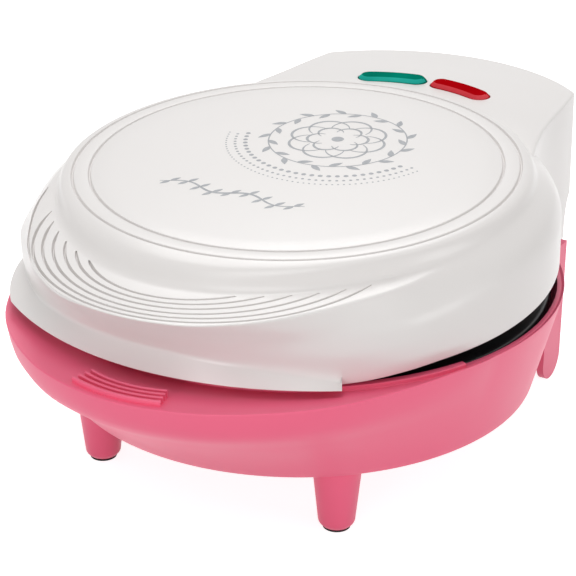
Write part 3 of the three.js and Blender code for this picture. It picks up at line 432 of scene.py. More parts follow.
CUP_CENTRES = [(0.0, 0.0), *arc((0, 0), CUP_CIRCLE, 0, 300, 5)]
FIXING_CENTRES = arc((0, 0), FIXING_CIRCLE, 30, 270, 2)
COVER_SCREWS = [(side * COVER.screw_x, COVER.screw_y) for side in (-1, 1)]


# Base


def bowl_radius(height):
    return mix(FLOOR_RADIUS, RIM_RADIUS, (height - FLOOR_HEIGHT) / (RIM_HEIGHT - FLOOR_HEIGHT))


ledge_share = round_curve(LEDGE_SHARES, LEDGE_STEP)
side_share = smooth_curve(SIDE_HEIGHTS, SIDE_SHARES)


def bowl_outline(angle):
    share = ledge_share(angle)
    reach = LEDGE_REACH * share
    grown = min(1, share / LEDGE_FULL_SHARE)
    raised = abs(angle) <= INNER_RIM.angle
    rim_top = LAND_HEIGHT + (INNER_RIM.rise if raised else INNER_RIM.low_rise)
    rim_outside = CAVITY_RADIUS + INNER_RIM.thickness + INNER_RIM.growth * grown
    return rounded([
        (0, FLOOR_HEIGHT, 0), (FLOOR_RADIUS, FLOOR_HEIGHT, 1),
        *[(bowl_radius(z) + reach * side_share(z), z, 0) for z in BOWL_LEVELS],
        (RIM_RADIUS + reach, mix(RIM_HEIGHT, LEDGE_TOP, grown), 1),
        (rim_outside + INNER_RIM.flare, LAND_HEIGHT, 0.8), (rim_outside, rim_top, 0.4),
        (CAVITY_RADIUS - INNER_RIM.width, rim_top, 0), (0, rim_top, 0),
    ])


def bowl_hollow_outline(angle):
    reach, top = LEDGE_REACH * ledge_share(angle), LEDGE_TOP + OVERRUN
    return rounded([
        (0, FLOOR_HEIGHT + BOWL_WALL, 0),
        (FLOOR_RADIUS - BOWL_WALL, FLOOR_HEIGHT + BOWL_WALL, 1),
        *[(bowl_radius(z) + reach * side_share(z) - BOWL_WALL, z, 0) for z in HOLLOW_LEVELS],
        (CAVITY_RADIUS, CAVITY_ROOF, 0), (CAVITY_RADIUS, top, 0), (0, top, 0),
    ])


def rib(index):
    """One of the bowed grip ribs on the ledge, with a rounded top and square ends."""
    half = RIB.half - RIB.taper * index
    radius = (half * half + RIB.bow * RIB.bow) / (2 * RIB.bow)
    spread = degrees(asin(half / radius))
    front = RIM_RADIUS + LEDGE_REACH - RIB.inset - RIB.pitch * index
    side = RIB.width / 2
    section = rounded([
        (-side, RIB.root, 0), (-side, RIB.top, RIB.round),
        (side, RIB.top, RIB.round), (side, RIB.root, 0),
    ])
    loops = []
    for x, y in arc((0, radius - front), radius, -90 - spread, -90 + spread, 24):
        out = np.array((x, y - radius + front)) / radius
        loops.append([(x + out[0] * w, y + out[1] * w, z) for w, z in section])
    return skin("rib", loops)


def front_leg(side):
    pad, root = GROUND + LEG.pad, FLOOR_HEIGHT + SINK
    outline = rounded([
        (0, pad, 0), (LEG.toe, pad, 0.3), (LEG.foot, GROUND + LEG.ankle, 1),
        (LEG.top, root, 0), (0, root, 0),
    ])
    return lathe("leg", outline, 64, (side * LEG.x, LEG.y))


def yoke_plan(inset):
    outside, rear = REAR_LEG.outside - inset, REAR_LEG.rear - inset
    slot, slot_end = YOKE.slot + inset, YOKE.slot_end - inset
    return [
        (-outside, YOKE.front), (outside, YOKE.front), (outside, rear), (slot, rear),
        (slot, slot_end), (-slot, slot_end), (-slot, rear), (-outside, rear),
    ]


def yoke():
    """The thin box that carries the rear legs, open at its underside."""
    bottom, top, wall = YOKE.bottom, REAR_LEG.top, YOKE.wall
    return cut(
        prism("yoke", yoke_plan(0), bottom, top),
        prism("yoke_hollow", yoke_plan(wall), bottom - OVERRUN, top - wall),
    )


def rear_leg(side):
    radius = (REAR_LEG.rear - REAR_LEG.front) / 2
    toe = arc((REAR_LEG.rear - radius, GROUND + radius), radius, 180, 360, 24)
    points = [*toe, (REAR_LEG.rear, REAR_LEG.top), (REAR_LEG.front, REAR_LEG.top)]
    return slab("rear_leg", points, side * REAR_LEG.inside, side * REAR_LEG.outside)


def hinge_lug(side):
    root_y = HINGE_Y - LUG.root
    points = [
        (root_y, HINGE_Z - LUG.radius), *arc((HINGE_Y, HINGE_Z), LUG.radius, -90, 90, 32),
        (root_y, HINGE_Z + LUG.rise),
    ]
    return slab("lug", points, side * LUG.inside, side * LUG.outside)


def vent_slots():
    bottom, top = FLOOR_HEIGHT - OVERRUN, FLOOR_HEIGHT + BOWL_WALL + OVERRUN
    slots = []
    for i in range(VENT.count):
        x = (i - (VENT.count - 1) / 2) * VENT.pitch
        plan = [
            *arc((x, VENT.rear), VENT.radius, 0, 180, 8),
            *arc((x, VENT.front), VENT.radius, 180, 360, 8),
        ]
        slots.append(prism("slot", plan, bottom, top))
    return slots


def on_gland_line(obj):
    """Lays a round body along the cord gland's line, with its heights along Y."""
    lift = Matrix.Translation((0, 0, GLAND.height))
    obj.data.transform(lift @ Matrix.Rotation(-pi / 2, 4, "X"))
    return obj


def gland_bar(radius, start, end):
    return on_gland_line(post("gland_bar", radius, start, end))


def fixing_holes():
    """Cutters for the heads and shafts of the screws that hold the lower plate."""
    head_top = FLOOR_HEIGHT + FIXING.head_depth
    holes = (FIXING.head_hole, head_top, 32), (FIXING.shaft_hole, FIXING.shaft_top, 24)
    return [post("hole", r, 0, top, p, sides) for r, top, sides in holes for p in FIXING_CENTRES]


def base_shell():
    bowl = turned("base", spread_angles(2, INNER_RIM.angle, INNER_RIM.turn), bowl_outline)
    join(bowl, *[rib(i) for i in range(RIB.count)], front_leg(-1), front_leg(1), yoke())
    join(bowl, rear_leg(-1), rear_leg(1), hinge_lug(-1), hinge_lug(1))
    cut(bowl, turned("hollow", spread_angles(3), bowl_hollow_outline), *vent_slots())
    root, top = FLOOR_HEIGHT + SINK, FIXING.boss_top
    join(bowl, *[post("boss", FIXING.boss, root, top, p, 32) for p in FIXING_CENTRES])
    seat = bowl_radius(GLAND.height) - GAP
    return cut(
        bowl,
        *fixing_holes(),
        bar("pin_hole", PIN_RADIUS + GAP, -PIN_END, PIN_END, HINGE_Y, HINGE_Z),
        gland_bar(GLAND.neck + GAP, 0, RIM_RADIUS),
        gland_bar(GLAND.flange + GAP, seat, RIM_RADIUS + OVERRUN),
    )


def foot_pad(side):
    top = GROUND + LEG.pad - GAP
    peg_top = top + LEG.peg_rise
    outline = rounded([
        (0, GROUND, 0), (LEG.toe, GROUND, 0.4), (LEG.toe, top, 0.15),
        (LEG.peg, top, 0), (LEG.peg, peg_top, 0), (0, peg_top, 0),
    ])
    return lathe("foot_pad", outline, 48, (side * LEG.x, LEG.y))


def cord_gland():
    """The ribbed rubber bush of the supply inlet, open through its middle."""
    seat = bowl_radius(GLAND.height)
    inner, outer = seat - GLAND.inward, seat + GLAND.outward
    neck, flange = GLAND.neck, GLAND.flange
    outline = rounded([
        (0, inner, 0), (neck, inner, 0.5), (neck, seat, 0), (flange, seat, 0.4),
        (flange, outer, 1.2), *[(r, outer - depth, bend) for r, depth, bend in GLAND_GROOVE],
        (0, outer, 0),
    ])
    bush = on_gland_line(lathe("cord_gland_bush", outline, 48))
    return cut(bush, gland_bar(GLAND.bore, inner - OVERRUN, outer + OVERRUN))


# Cooking plates


def plate_surface(name, face, turn, wells):
    """A plate's cooking side: a flat face with a rounded edge, and wells turned into it.

    turn is 1 where the wells sink below the face and -1 where they rise above it. wells lists
    (centre, outline), each outline as (radius, depth) from the well's mouth to its middle.
    """
    sides, hole_sides = 180, 48
    rim = rounded([
        (PLATE.flat, 0, 0), (PLATE.radius, 0, PLATE.edge), (PLATE.radius, PLATE.skirt, 0),
    ], 5)
    circles = [arc((0, 0), PLATE.flat, 0, 360, sides)[:-1]]
    circles += [arc(c, outline[0][0], 0, 360, hole_sides)[:-1] for c, outline in wells]
    flat, edges = [], []
    for circle in circles:
        start = len(flat)
        flat += [Vector(p) for p in circle]
        edges += [(start + i, start + (i + 1) % len(circle)) for i in range(len(circle))]
    spots, _, triangles, *_ = delaunay_2d_cdt(flat, edges, [], 0, 1e-6)
    verts = [(p.x, p.y, face) for p in spots]
    faces = []
    for triangle in triangles:
        centre = sum((spots[i] for i in triangle), Vector((0, 0))) / 3
        outside = all((centre - Vector(c)).length > outline[0][0] * 0.999 for c, outline in wells)
        if outside and centre.length < PLATE.flat:
            faces.append(tuple(triangle))

    def rings(centre, outline, count):
        first = len(verts)
        for radius, depth in outline:
            z = face - turn * depth
            verts.extend((x, y, z) for x, y in arc(centre, radius, 0, 360, count)[:-1])
        faces.extend(bands(first, len(outline), count))

    rings((0, 0), rim, sides)
    for centre, outline in wells:
        rings(centre, outline[:-1], hole_sides)
        middle = len(verts)
        last = middle - hole_sides
        verts.append((*centre, face - turn * outline[-1][1]))
        faces += [(last + i, last + (i + 1) % hole_sides, middle) for i in range(hole_sides)]
    obj = mesh_object(name, verts, faces)
    bm = bmesh.new()
    bm.from_mesh(obj.data)
    bmesh.ops.remove_doubles(bm, verts=bm.verts, dist=0.01)
    bmesh.ops.recalc_face_normals(bm, faces=bm.faces)
    edge_face = min(bm.faces, key=lambda f: abs(f.calc_center_median().xy.length - PLATE.flat))
    if edge_face.normal.z * turn < 0:
        bmesh.ops.reverse_faces(bm, faces=bm.faces)
    bm.to_mesh(obj.data)
    bm.free()
    shade(obj, 40)
    solidify = obj.modifiers.new("thickness", "SOLIDIFY")
    solidify.thickness = PLATE.thickness
    solidify.offset = -1
    return combine(obj, "DIFFERENCE")


def lower_plate():
    cup = rounded(CUP, 5)
    return plate_surface("lower_plate", LOWER_TOP, 1, [(c, cup) for c in CUP_CENTRES])


def upper_plate():
    dome = rounded(DOME, 4)
    wells = [(c, dome) for c in CUP_CENTRES] + [(c, SCREW_SEAT) for c in FIXING_CENTRES]
    return plate_surface("upper_plate", UPPER_FACE, -1, wells)


def screw(name, place, head, tip):
    """A cross-head screw whose shaft points up from its head."""
    top = head + SCREW.height
    outline = rounded([
        (0, head, 0), (SCREW.face, head + 0.1, 0.6), (SCREW.head, head + SCREW.dome, 0.6),
        (SCREW.head, top, 0.2), (SCREW.shaft, top, 0), (SCREW.shaft, tip - 1, 0.3),
        (0.5, tip, 0), (0, tip, 0),
    ])
    body = lathe(name, outline, 40, place)
    blades = []
    for long, short in ((SCREW.slot, SCREW.blade), (SCREW.blade, SCREW.slot)):
        points = [(place[0] + a * long, place[1] + b * short) for a, b in CORNERS]
        blades.append(prism("blade", points, head - 1, head + 1))
    return cut(body, join(*blades))


# Lid


visor_top = round_curve(VISOR_TOP, VISOR_STEP)
visor_middle = round_curve(VISOR_MIDDLE, VISOR_STEP)
visor_low = round_curve(VISOR_LOW, VISOR_STEP)
visor_edge = round_curve(VISOR_EDGE, VISOR_STEP)
plateau_share = round_curve(PLATEAU_SHARES, VISOR_STEP)
lip_tail = smooth_curve([LIP_TAIL_STEP * i for i in range(len(LIP_TAIL))], LIP_TAIL)


def lid_side(angle):
    """The lid's outer wall at one angle, as a curve of radius over height."""
    low = VISOR_REACH * visor_low(angle)
    top = VISOR_REACH * visor_top(angle)
    return smooth_curve(SIDE_LEVELS, [
        LID_RADIUS + VISOR_SHARES.foot * visor_edge(angle),
        *[LID_RADIUS + share * low for share in VISOR_SHARES.low],
        LID_RADIUS + VISOR_SHARES.middle * VISOR_REACH * visor_middle(angle),
        mix(LID_RADIUS, SHELF_RADIUS, LEAN) + VISOR_SHARES.top * top,
        SHELF_RADIUS + top,
    ])


def crown(radius):
    """Height of the plateau's top."""
    return CROWN_HEIGHT - CROWN_FALL * (radius / GROOVE_RADII[0]) ** 2


def wall_rows(side, low, high):
    return [(side(z), z) for z in np.linspace(low, high, WALL_ROWS)]


def lid_foot(angle, side):
    """The lower part of the outline: the lip where there is one, else the plain wall."""
    tail = -LIP.angle - LIP_TAIL_STEP * (len(LIP_TAIL) - 1)
    if not tail < angle <= LIP.angle:
        foot, wall = PLAIN_RIGHT if angle > 0 else PLAIN_LEFT
        return [*wall_rows(side, foot, wall - PLAIN_GAP), *wall_rows(side, wall, WALL_TOP)]
    away = min(1, abs(angle) / LIP.angle) ** 2
    share = lip_tail(max(0, -angle - LIP.angle))
    end = LIP_RIGHT if angle > 0 else LIP_LEFT
    underside = LIP.underside - end.sag * away
    edge = LIP.radius + end.spread * away
    crease = LIP_CREASE.height - end.drop * away
    crease_radius = LIP_CREASE.radius - LIP_CREASE.taper * away
    wall = crease + LIP_CREASE.rise
    lip = rounded([
        (side(LID_FOOT), LID_FOOT, 0),
        (side(LID_FOOT) + 0.5 * share, underside, 0.5),
        (mix(side(SIDE_LEVELS[1]), edge, share), underside, 0.8),
        (mix(side(SIDE_LEVELS[2]), crease_radius, share), crease, mix(1.6, 0.6, away)),
        (side(wall), wall, 0),
    ])[1:-1]
    return [*lip, *wall_rows(side, wall, WALL_TOP)]


def groove(radius):
    z = crown(radius)
    half, flat, low = GROOVE.half, GROOVE.floor, z - GROOVE.depth
    return [
        (radius + half, z, 0.2), (radius + flat, low, 0.15),
        (radius - flat, low, 0.15), (radius - half, z, 0.2),
    ]


def lid_outline(angle):
    side = lid_side(angle)
    away = min(1, abs(angle) / SHELF_END)
    shelf = min(1, max(0, (SHELF_END - abs(angle)) / SHELF_FADE))
    front = plateau_share(angle)
    edge = PLATEAU_RADIUS + PLATEAU_REACH * front
    foot = side(LID_FOOT)
    foot_out = edge + PLATEAU_FOOT.out + PLATEAU_FOOT.growth * front
    foot_height = mix(PLATEAU_FOOT.back, SHELF_HEIGHT + PLATEAU_FOOT.front, shelf)
    shoulder = edge - PLATEAU_SHOULDER.growth * front
    return [
        *rounded([(0, LID_FOOT, 0), (foot, LID_FOOT, 0.6), (foot, LID_TOE, 0)])[:-1],
        *lid_foot(angle, side),
        *rounded([
            (side(WALL_TOP), WALL_TOP, 0),
            (side(SHELF_HEIGHT), SHELF_HEIGHT, mix(1.5, 1.2, away)),
            (foot_out, foot_height, mix(1, 2.6, shelf)),
            (shoulder, PLATEAU_SHOULDER.height, mix(2.2, 3.4, front)),
            (PLATEAU_EDGE.radius, PLATEAU_HEIGHT + PLATEAU_EDGE.rise, 1),
            *groove(GROOVE_RADII[0]),
            *groove(GROOVE_RADII[1]),
            *[(r, crown(r), 0) for r in CROWN_RADII],
            (0, CROWN_HEIGHT, 0),
        ])[1:],
    ]


def lid_hollow_outline(angle):
    side = lid_side(angle)
    inner = LID_RADIUS - LID_WALL
    share = LID_HOLLOW.share
    wall = [
        (mix(inner, side(z) - LID_WALL, share), z)
        for z in (SIDE_LEVELS[0], SIDE_LEVELS[1], SIDE_LEVELS[4])
    ]
    reach = VISOR_SHARES.top * VISOR_REACH * visor_top(angle) * share
    top = mix(LID_RADIUS, SHELF_RADIUS, LEAN) - LID_WALL + reach
    roof, plateau_roof = LID_HOLLOW.roof, PLATEAU_HEIGHT - LID_WALL
    return [
        (0, LID_FOOT - OVERRUN), (wall[0][0], LID_FOOT - OVERRUN), *wall[1:],
        (top, LID_HOLLOW.shoulder), (top - LID_HOLLOW.bevel, roof),
        (PLATEAU_RADIUS - LID_WALL, roof),
        (PLATEAU_RADIUS - 2 * LID_WALL, plateau_roof), (0, plateau_roof),
    ]


def ways_along(path):
    """Unit directions at the points of a plan path."""
    ways = np.gradient(np.array(path, float), axis=0)
    return ways / np.linalg.norm(ways, axis=1)[:, None]


def fine_groove(path):
    """Cutter for a narrow groove in the shelf along a plan path, tapered to its ends."""
    last = len(path) - 1
    loops = []
    for i, (here, way) in enumerate(zip(path, ways_along(path))):
        size = min(1, ARC_TAPER.start + ARC_TAPER.step * min(i, last - i))
        across = np.array((-way[1], way[0])) * size * ARC.half
        loops.append([
            (*(here + across * w), SHELF_HEIGHT + z * size * ARC.depth) for w, z in ARC_SECTION
        ])
    return skin("fine_groove", loops)


def shelf_arc(index):
    """One of the fine arcs, through its two ends and its front."""
    angle = radians(ARC.angle - ARC.step * index)
    ends = ARC.ends + ARC.growth * index
    end_x, end_y = ends * sin(angle), ends * cos(angle)
    front = ARC_FRONTS[index]
    centre = (end_x ** 2 + end_y ** 2 - front ** 2) / (end_y - front) / 2
    spread = degrees(atan2(end_x, end_y - centre))
    return fine_groove(arc((0, -centre), front - centre, -90 - spread, -90 + spread, 72))


def edge_line():
    """The groove along the shelf's left edge."""
    path = []
    for angle in np.linspace(EDGE_LINE.first, EDGE_LINE.last, 60):
        radius = lid_side(angle)(SHELF_HEIGHT) - EDGE_LINE.inset
        path.append((radius * sin(radians(angle)), -radius * cos(radians(angle))))
    return fine_groove(path)


block_width = smooth_curve([mix(BLOCK.neck, BLOCK.corner, s) for s in BLOCK_SHARES], BLOCK_WIDTHS)


def block_top(y):
    share = max(0, (y - BLOCK.slope) / (BLOCK.rear - BLOCK.slope))
    return BLOCK.top - BLOCK.fall * share


CEILING = block_top(BLOCK.rear) - BLOCK_WALL
PARTITION = LID_RADIUS + LID_WALL / 2
LENS_MIDDLE_Y = LENS.centre + LENS.radius * sin(radians(90 - (LENS.start + LENS.end) / 2))


def block_plan(inset):
    """The block's plan: waisted flanks, two corners and a bowed back."""
    corner = BLOCK.corner - inset
    flank = [(block_width(y) - inset, y) for y in np.linspace(BLOCK.neck, corner, 25)]
    half, bow = BLOCK_WIDTHS[-1] - inset, BLOCK.rear - BLOCK.corner
    radius = (half * half + bow * bow) / (2 * bow)
    spread = degrees(asin(half / radius))
    back = arc((0, BLOCK.rear - inset - radius), radius, 90 - spread, 90, 16)
    sides, rear = [(*p, 0) for p in flank[:-1]], [(*p, 0) for p in back[1:]]
    right = rounded([*sides, (*flank[-1], BLOCK_CORNER), *rear])
    return right + [(-x, y) for x, y in right[-2::-1]]


def block_solid():
    """The block over its whole height, with a rounded top edge."""
    loops = [[(x, y, BLOCK_BOTTOM) for x, y in block_plan(0)]]
    for a in (0, 22.5, 45, 67.5, 90):
        inset = BLOCK_EDGE * (1 - cos(radians(a)))
        rise = BLOCK_EDGE * sin(radians(a))
        loops.append([(x, y, block_top(y) - BLOCK_EDGE + rise) for x, y in block_plan(inset)])
    n = len(loops[0])
    faces = [tuple(range(n))[::-1], *bands(0, len(loops), n)]
    top = (len(loops) - 1) * n
    faces += [(top + i, top + n - 1 - i, top + n - 2 - i, top + i + 1) for i in range(n // 2 - 1)]
    faces.append((top + n // 2 - 1, top + n // 2 + 1, top + n // 2))
    return outward(mesh_object("block", [p for loop in loops for p in loop], faces))


def block_underside():
    """Everything below the block: the cheek round the pin, the heel and the hollow sweep behind."""
    heel_y, heel_z = LID_HINGE_Y + CHEEK.heel, HINGE_Z - CHEEK.drop
    foot = LID_FOOT + SINK
    front = arc((LID_HINGE_Y, HINGE_Z), CHEEK.radius, 180, 290, 32)
    heel = arc((heel_y - CHEEK.round, heel_z), CHEEK.round, 300, 360, 12)
    sweep = [
        (BLOCK.corner + y * (BLOCK.corner - heel_y), heel_z + z * (BLOCK_UNDERSIDE - heel_z))
        for y, z in arc((0, 0), 1, 180, 90, 24)[1:]
    ]
    brow = (LID_HINGE_Y - CHEEK.radius, HINGE_Z + CHEEK.brow)
    points = [
        (0, foot), (BLOCK_FOOT_FRONT, foot), brow, *front, *heel, *sweep,
        (BEYOND.rear, BLOCK_UNDERSIDE), (BEYOND.rear, BEYOND.bottom), (0, BEYOND.bottom),
    ]
    return slab("underside", points, -BEYOND.half, BEYOND.half)


def block_hollow():
    room = prism("room", block_plan(BLOCK_WALL), BEYOND.bottom, CEILING)
    return cut(room, post("partition", PARTITION, LID_FOOT, BEYOND.top, sides=180))


def lens_plan(side, margin, steps=10):
    """Plan of a lens: an arc band with round ends, grown by a margin."""
    middle = (0, LENS.centre)
    half = LENS.half + margin
    inset = degrees(LENS.half / LENS.radius)
    near, far = 90 - LENS.start - inset, 90 - LENS.end + inset
    near_centre = arc(middle, LENS.radius, near, near, 1)[0]
    far_centre = arc(middle, LENS.radius, far, far, 1)[0]
    points = [
        *arc(middle, LENS.radius + half, far, near, 2 * steps),
        *arc(near_centre, half, near, near + 180, steps)[1:-1],
        *arc(middle, LENS.radius - half, near, far, 2 * steps),
        *arc(far_centre, half, far + 180, far + 360, steps)[1:-1],
    ]
    return points if side > 0 else [(-x, y) for x, y in points][::-1]


def lens(name, side):
    """A lens with sloping sides that stands a little proud of the block."""
    flange, seat = LENS.flange, CEILING - GAP
    top = block_top(LENS_MIDDLE_Y) + LENS.rise
    levels = [(flange, seat - flange), (flange, seat), (0, seat)]
    levels += [(margin, top - depth) for margin, depth in LENS_EDGE]
    return skin(name, [[(x, y, z) for x, y in lens_plan(side, margin)] for margin, z in levels])


def painted_front_highlight(obj, highlight):
    """Gives the sloping front of a lens a paler tone, a painted highlight that stands in for the
    light reflected there.
    """
    obj.data.materials.append(highlight)
    for face in obj.data.polygons:
        if LENS_HIGHLIGHT_FACES[0] < face.normal.z < LENS_HIGHLIGHT_FACES[1] and face.normal.y < 0:
            face.material_index = 1


def hinge_cover():
    """The sheet that closes the block's room from below."""
    play = COVER.play
    sheet = prism("cover", block_plan(BLOCK_WALL + play), COVER.bottom, COVER.top)
    low, high = COVER.bottom - OVERRUN, COVER.top + OVERRUN
    cut(sheet, post("clear", PARTITION + play, low, high, sides=180))
    return cut(sheet, *[post("hole", COVER.hole, low, high, p, 24) for p in COVER_SCREWS])


def lid_shell():
    shell = turned("lid", spread_angles(1.5, LIP.angle, LIP.turn), lid_outline)
    join(shell, cut(block_solid(), block_underside()))
    cut(shell, turned("lid_hollow", spread_angles(3), lid_hollow_outline), block_hollow())
    cut(shell, *[shelf_arc(i) for i in range(len(ARC_FRONTS))], edge_line())
    outside = block_width(LID_HINGE_Y)
    bosses, holes = [], []
    for side in (-1, 1):
        ends = side * CHEEK.boss_end, side * (outside - CHEEK.boss_sunk)
        bosses.append(bar("boss", CHEEK.boss, *ends, LID_HINGE_Y, HINGE_Z))
        ends = side * CHEEK.hole_end, side * (outside - CHEEK.hole_wall)
        holes.append(bar("pin_hole", PIN_RADIUS + GAP, *ends, LID_HINGE_Y, HINGE_Z))
        holes.append(prism("lens_hole", lens_plan(side, GAP), CEILING - OVERRUN, BEYOND.top))
    join(shell, *bosses)
    return cut(shell, *holes)


# Print on the lid: a blossom in a ring of leaves, with rows of dots and a garland


class Print:
    """Flat ink shapes on the plateau's top, gathered as one mesh."""

    def __init__(self):
        self.verts, self.faces = [], []

    def shape(self, points):
        start = len(self.verts)
        self.verts += [(x, y, crown(hypot(x, y)) + INK_LIFT) for x, y in points]
        self.faces.append(tuple(range(start, len(self.verts))))

    def dot(self, x, y, radius, sides=14):
        self.shape(arc((x, y), radius, 0, 360, sides)[:-1])

    def stroke(self, path, widths):
        """A band along a path, as wide at each point as widths says."""
        path, ways = np.array(path, float), ways_along(path)
        across = np.stack([-ways[:, 1], ways[:, 0]], 1) * (np.array(widths)[:, None] / 2)
        left, right = path + across, path - across
        for i in range(len(path) - 1):
            self.shape([left[i], right[i], right[i + 1], left[i + 1]])

    def leaf(self, x, y, heading, length, width):
        """A pointed leaf from a point in a direction, in degrees."""
        c, s = cos(radians(heading)), sin(radians(heading))
        upper = [(length * t, width / 2 * sin(pi * t ** 0.8)) for t in np.linspace(0, 1, 9)]
        lower = [(u, -v) for u, v in upper[-2:0:-1]]
        self.shape([(x + u * c - v * s, y + u * s + v * c) for u, v in upper + lower])


def swelling(line, swell, count):
    """Widths of a stroke that is thin at its ends and full in its middle."""
    return line + swell * np.sin(np.linspace(0, pi, count))


def blossom(ink):
    """A round blossom of nested petals in line work."""
    for petals, share, turn in BLOSSOM_ROUNDS:
        size = BLOSSOM_RADIUS * share
        for i in range(petals):
            a = radians(360 * i / petals + turn)
            middle = np.array(PRINT_CENTRE) + size * PETAL.out * np.array((cos(a), sin(a)))
            path = [
                middle + size * PETAL.radius * np.array((cos(b), sin(b)))
                for b in np.linspace(a - PETAL.spread, a + PETAL.spread, 25)
            ]
            ink.stroke(path, swelling(PETAL.line, PETAL.swell, 25))
    ink.dot(*PRINT_CENTRE, BLOSSOM_RADIUS * PETAL.heart, 24)


def wreath(ink):
    """Leaves that lean in and out in turn, on a ring."""
    count = WREATH.leaves
    for i, (x, y) in enumerate(arc(PRINT_CENTRE, WREATH.radius, 0, 360, count)[:-1]):
        lean = WREATH.lean if i % 2 else -WREATH.lean
        ink.leaf(x, y, 360 * i / count + 90 + lean, WREATH.length, WREATH.width)
    ring = arc(PRINT_CENTRE, WREATH.radius, 0, 360, 120)
    ink.stroke(ring, np.full(len(ring), WREATH.line))


def dot_rows(ink):
    for row, (radius, size, count) in enumerate(DOT_ROWS):
        for i in range(count):
            angle = mix(*DOT_ENDS, (i + 0.5 * (row % 2)) / count)
            ink.dot(*arc(PRINT_CENTRE, radius, angle, angle, 1)[0], size)


def garland(ink):
    """A waving stem with pairs of leaves."""
    def stem(x):
        return x + GARLAND.x, GARLAND.y + GARLAND.height * sin(x / GARLAND.wave)

    path = [stem(x) for x in np.linspace(-GARLAND.half, GARLAND.half, 90)]
    ink.stroke(path, swelling(GARLAND.line, GARLAND.swell, 90))
    leaf = GARLAND_LEAF
    for x in np.linspace(-leaf.half, leaf.half, leaf.count):
        for heading in (leaf.heading, leaf.heading - 180):
            ink.leaf(*stem(x), heading, leaf.length, leaf.width)


def lid_print():
    ink = Print()
    for draw in (blossom, wreath, dot_rows, garland):
        draw(ink)
    return mesh_object("lid_print", ink.verts, ink.faces)


# Materials


def material(name, color, roughness, metallic=0.0, **inputs):
    made = bpy.data.materials.new(name)
    made.use_nodes = True
    shader = made.node_tree.nodes["Principled BSDF"]
    shader.inputs["Base Color"].default_value = (*color, 1)
    shader.inputs["Roughness"].default_value = roughness
    shader.inputs["Metallic"].default_value = metallic
    for key, value in inputs.items():
        shader.inputs[key.replace("_", " ").title().replace("Ior", "IOR")].default_value = value
    return made


def shader_node(tree, kind, sockets, **settings):
    """A node whose sockets are given values, or are fed by the outputs of other nodes."""
    made = tree.nodes.new("ShaderNode" + kind)
    for key, value in settings.items():
        setattr(made, key, value)
    for key, value in sockets.items():
        if isinstance(value, bpy.types.NodeSocket):
            tree.links.new(value, made.inputs[key])
        else:
            made.inputs[key].default_value = value
    return made


def feed(made, key, output):
    made.node_tree.links.new(output, made.node_tree.nodes["Principled BSDF"].inputs[key])


def noise(made, scale, detail, stretch=(1, 1, 1)):
    tree = made.node_tree
    place = shader_node(tree, "TexCoord", {}).outputs["Object"]
    mapping = shader_node(tree, "Mapping", {"Vector": place, "Scale": stretch})
    mapped = mapping.outputs["Vector"]
    texture = shader_node(tree, "TexNoise", {"Vector": mapped, "Scale": scale, "Detail": detail})
    return texture.outputs["Fac"]


def tint(made, grain, dark, light):
    """Lets a noise, (scale, detail), change the base colour between two colours."""
    ramp = shader_node(made.node_tree, "ValToRGB", {"Fac": noise(made, *grain)})
    for element, position, color in zip(ramp.color_ramp.elements, (0.35, 0.65), (dark, light)):
        element.position = position
        element.color = (*color, 1)
    feed(made, "Base Color", ramp.outputs["Color"])


def gloss(made, grain, low, high):
    """Lets a noise change the roughness between two values."""
    ends = {"From Min": 0.3, "From Max": 0.7, "To Min": low, "To Max": high}
    span = shader_node(made.node_tree, "MapRange", {"Value": noise(made, *grain), **ends})
    feed(made, "Roughness", span.outputs["Result"])


def bump(made, grain, strength, distance):
    relief = shader_node(made.node_tree, "Bump", {
        "Strength": strength, "Distance": distance, "Height": noise(made, *grain),
    })
    feed(made, "Normal", relief.outputs["Normal"])


def toned(color, share):
    return tuple(c * share for c in color)


def moulded(name, color, roughness, **inputs):
    """Moulded plastic: broad faint changes of tone and gloss, and a very fine orange peel."""
    made = material(name, color, roughness, **inputs)
    tint(made, (9, 2), toned(color, 0.985), color)
    gloss(made, (30, 3), roughness * 0.93, roughness * 1.08)
    bump(made, (900, 2), 0.05, 0.0002)
    return made


def coated():
    """Black non-stick coating on cast aluminium: satin, with a fine speckle."""
    made = material("coating", (0.014, 0.014, 0.015), 0.36)
    tint(made, (2600, 2), (0.009, 0.009, 0.01), (0.022, 0.022, 0.024))
    gloss(made, (120, 4), 0.32, 0.42)
    bump(made, (2600, 2), 0.18, 0.0001)
    return made


def brushed(name, color, roughness):
    made = material(name, color, roughness, 1)
    grain = (260, 3, (1, 9, 9))
    tint(made, grain, toned(color, 0.85), color)
    gloss(made, grain, roughness * 0.8, roughness * 1.25)
    bump(made, grain, 0.1, 0.0001)
    return made


def rubber():
    made = material("black_rubber", (0.02, 0.02, 0.02), 0.75)
    tint(made, (1500, 3), (0.015, 0.015, 0.015), (0.028, 0.028, 0.028))
    bump(made, (1500, 3), 0.3, 0.0002)
    return made


def granular(name, color, scale, roughness=0.7):
    """Ceramic, laminate and other dull inner materials."""
    made = material(name, color, roughness)
    tint(made, (scale, 4), toned(color, 0.85), color)
    bump(made, (scale, 4), 0.2, 0.0001)
    return made


def lens_plastic(name, color, deep):
    """Coloured lens plastic without mirror shine, a little deeper in tone in places."""
    made = material(name, color, 0.3, specular_ior_level=0.0)
    tint(made, (55, 2), deep, color)
    gloss(made, (300, 2), 0.26, 0.34)
    return made


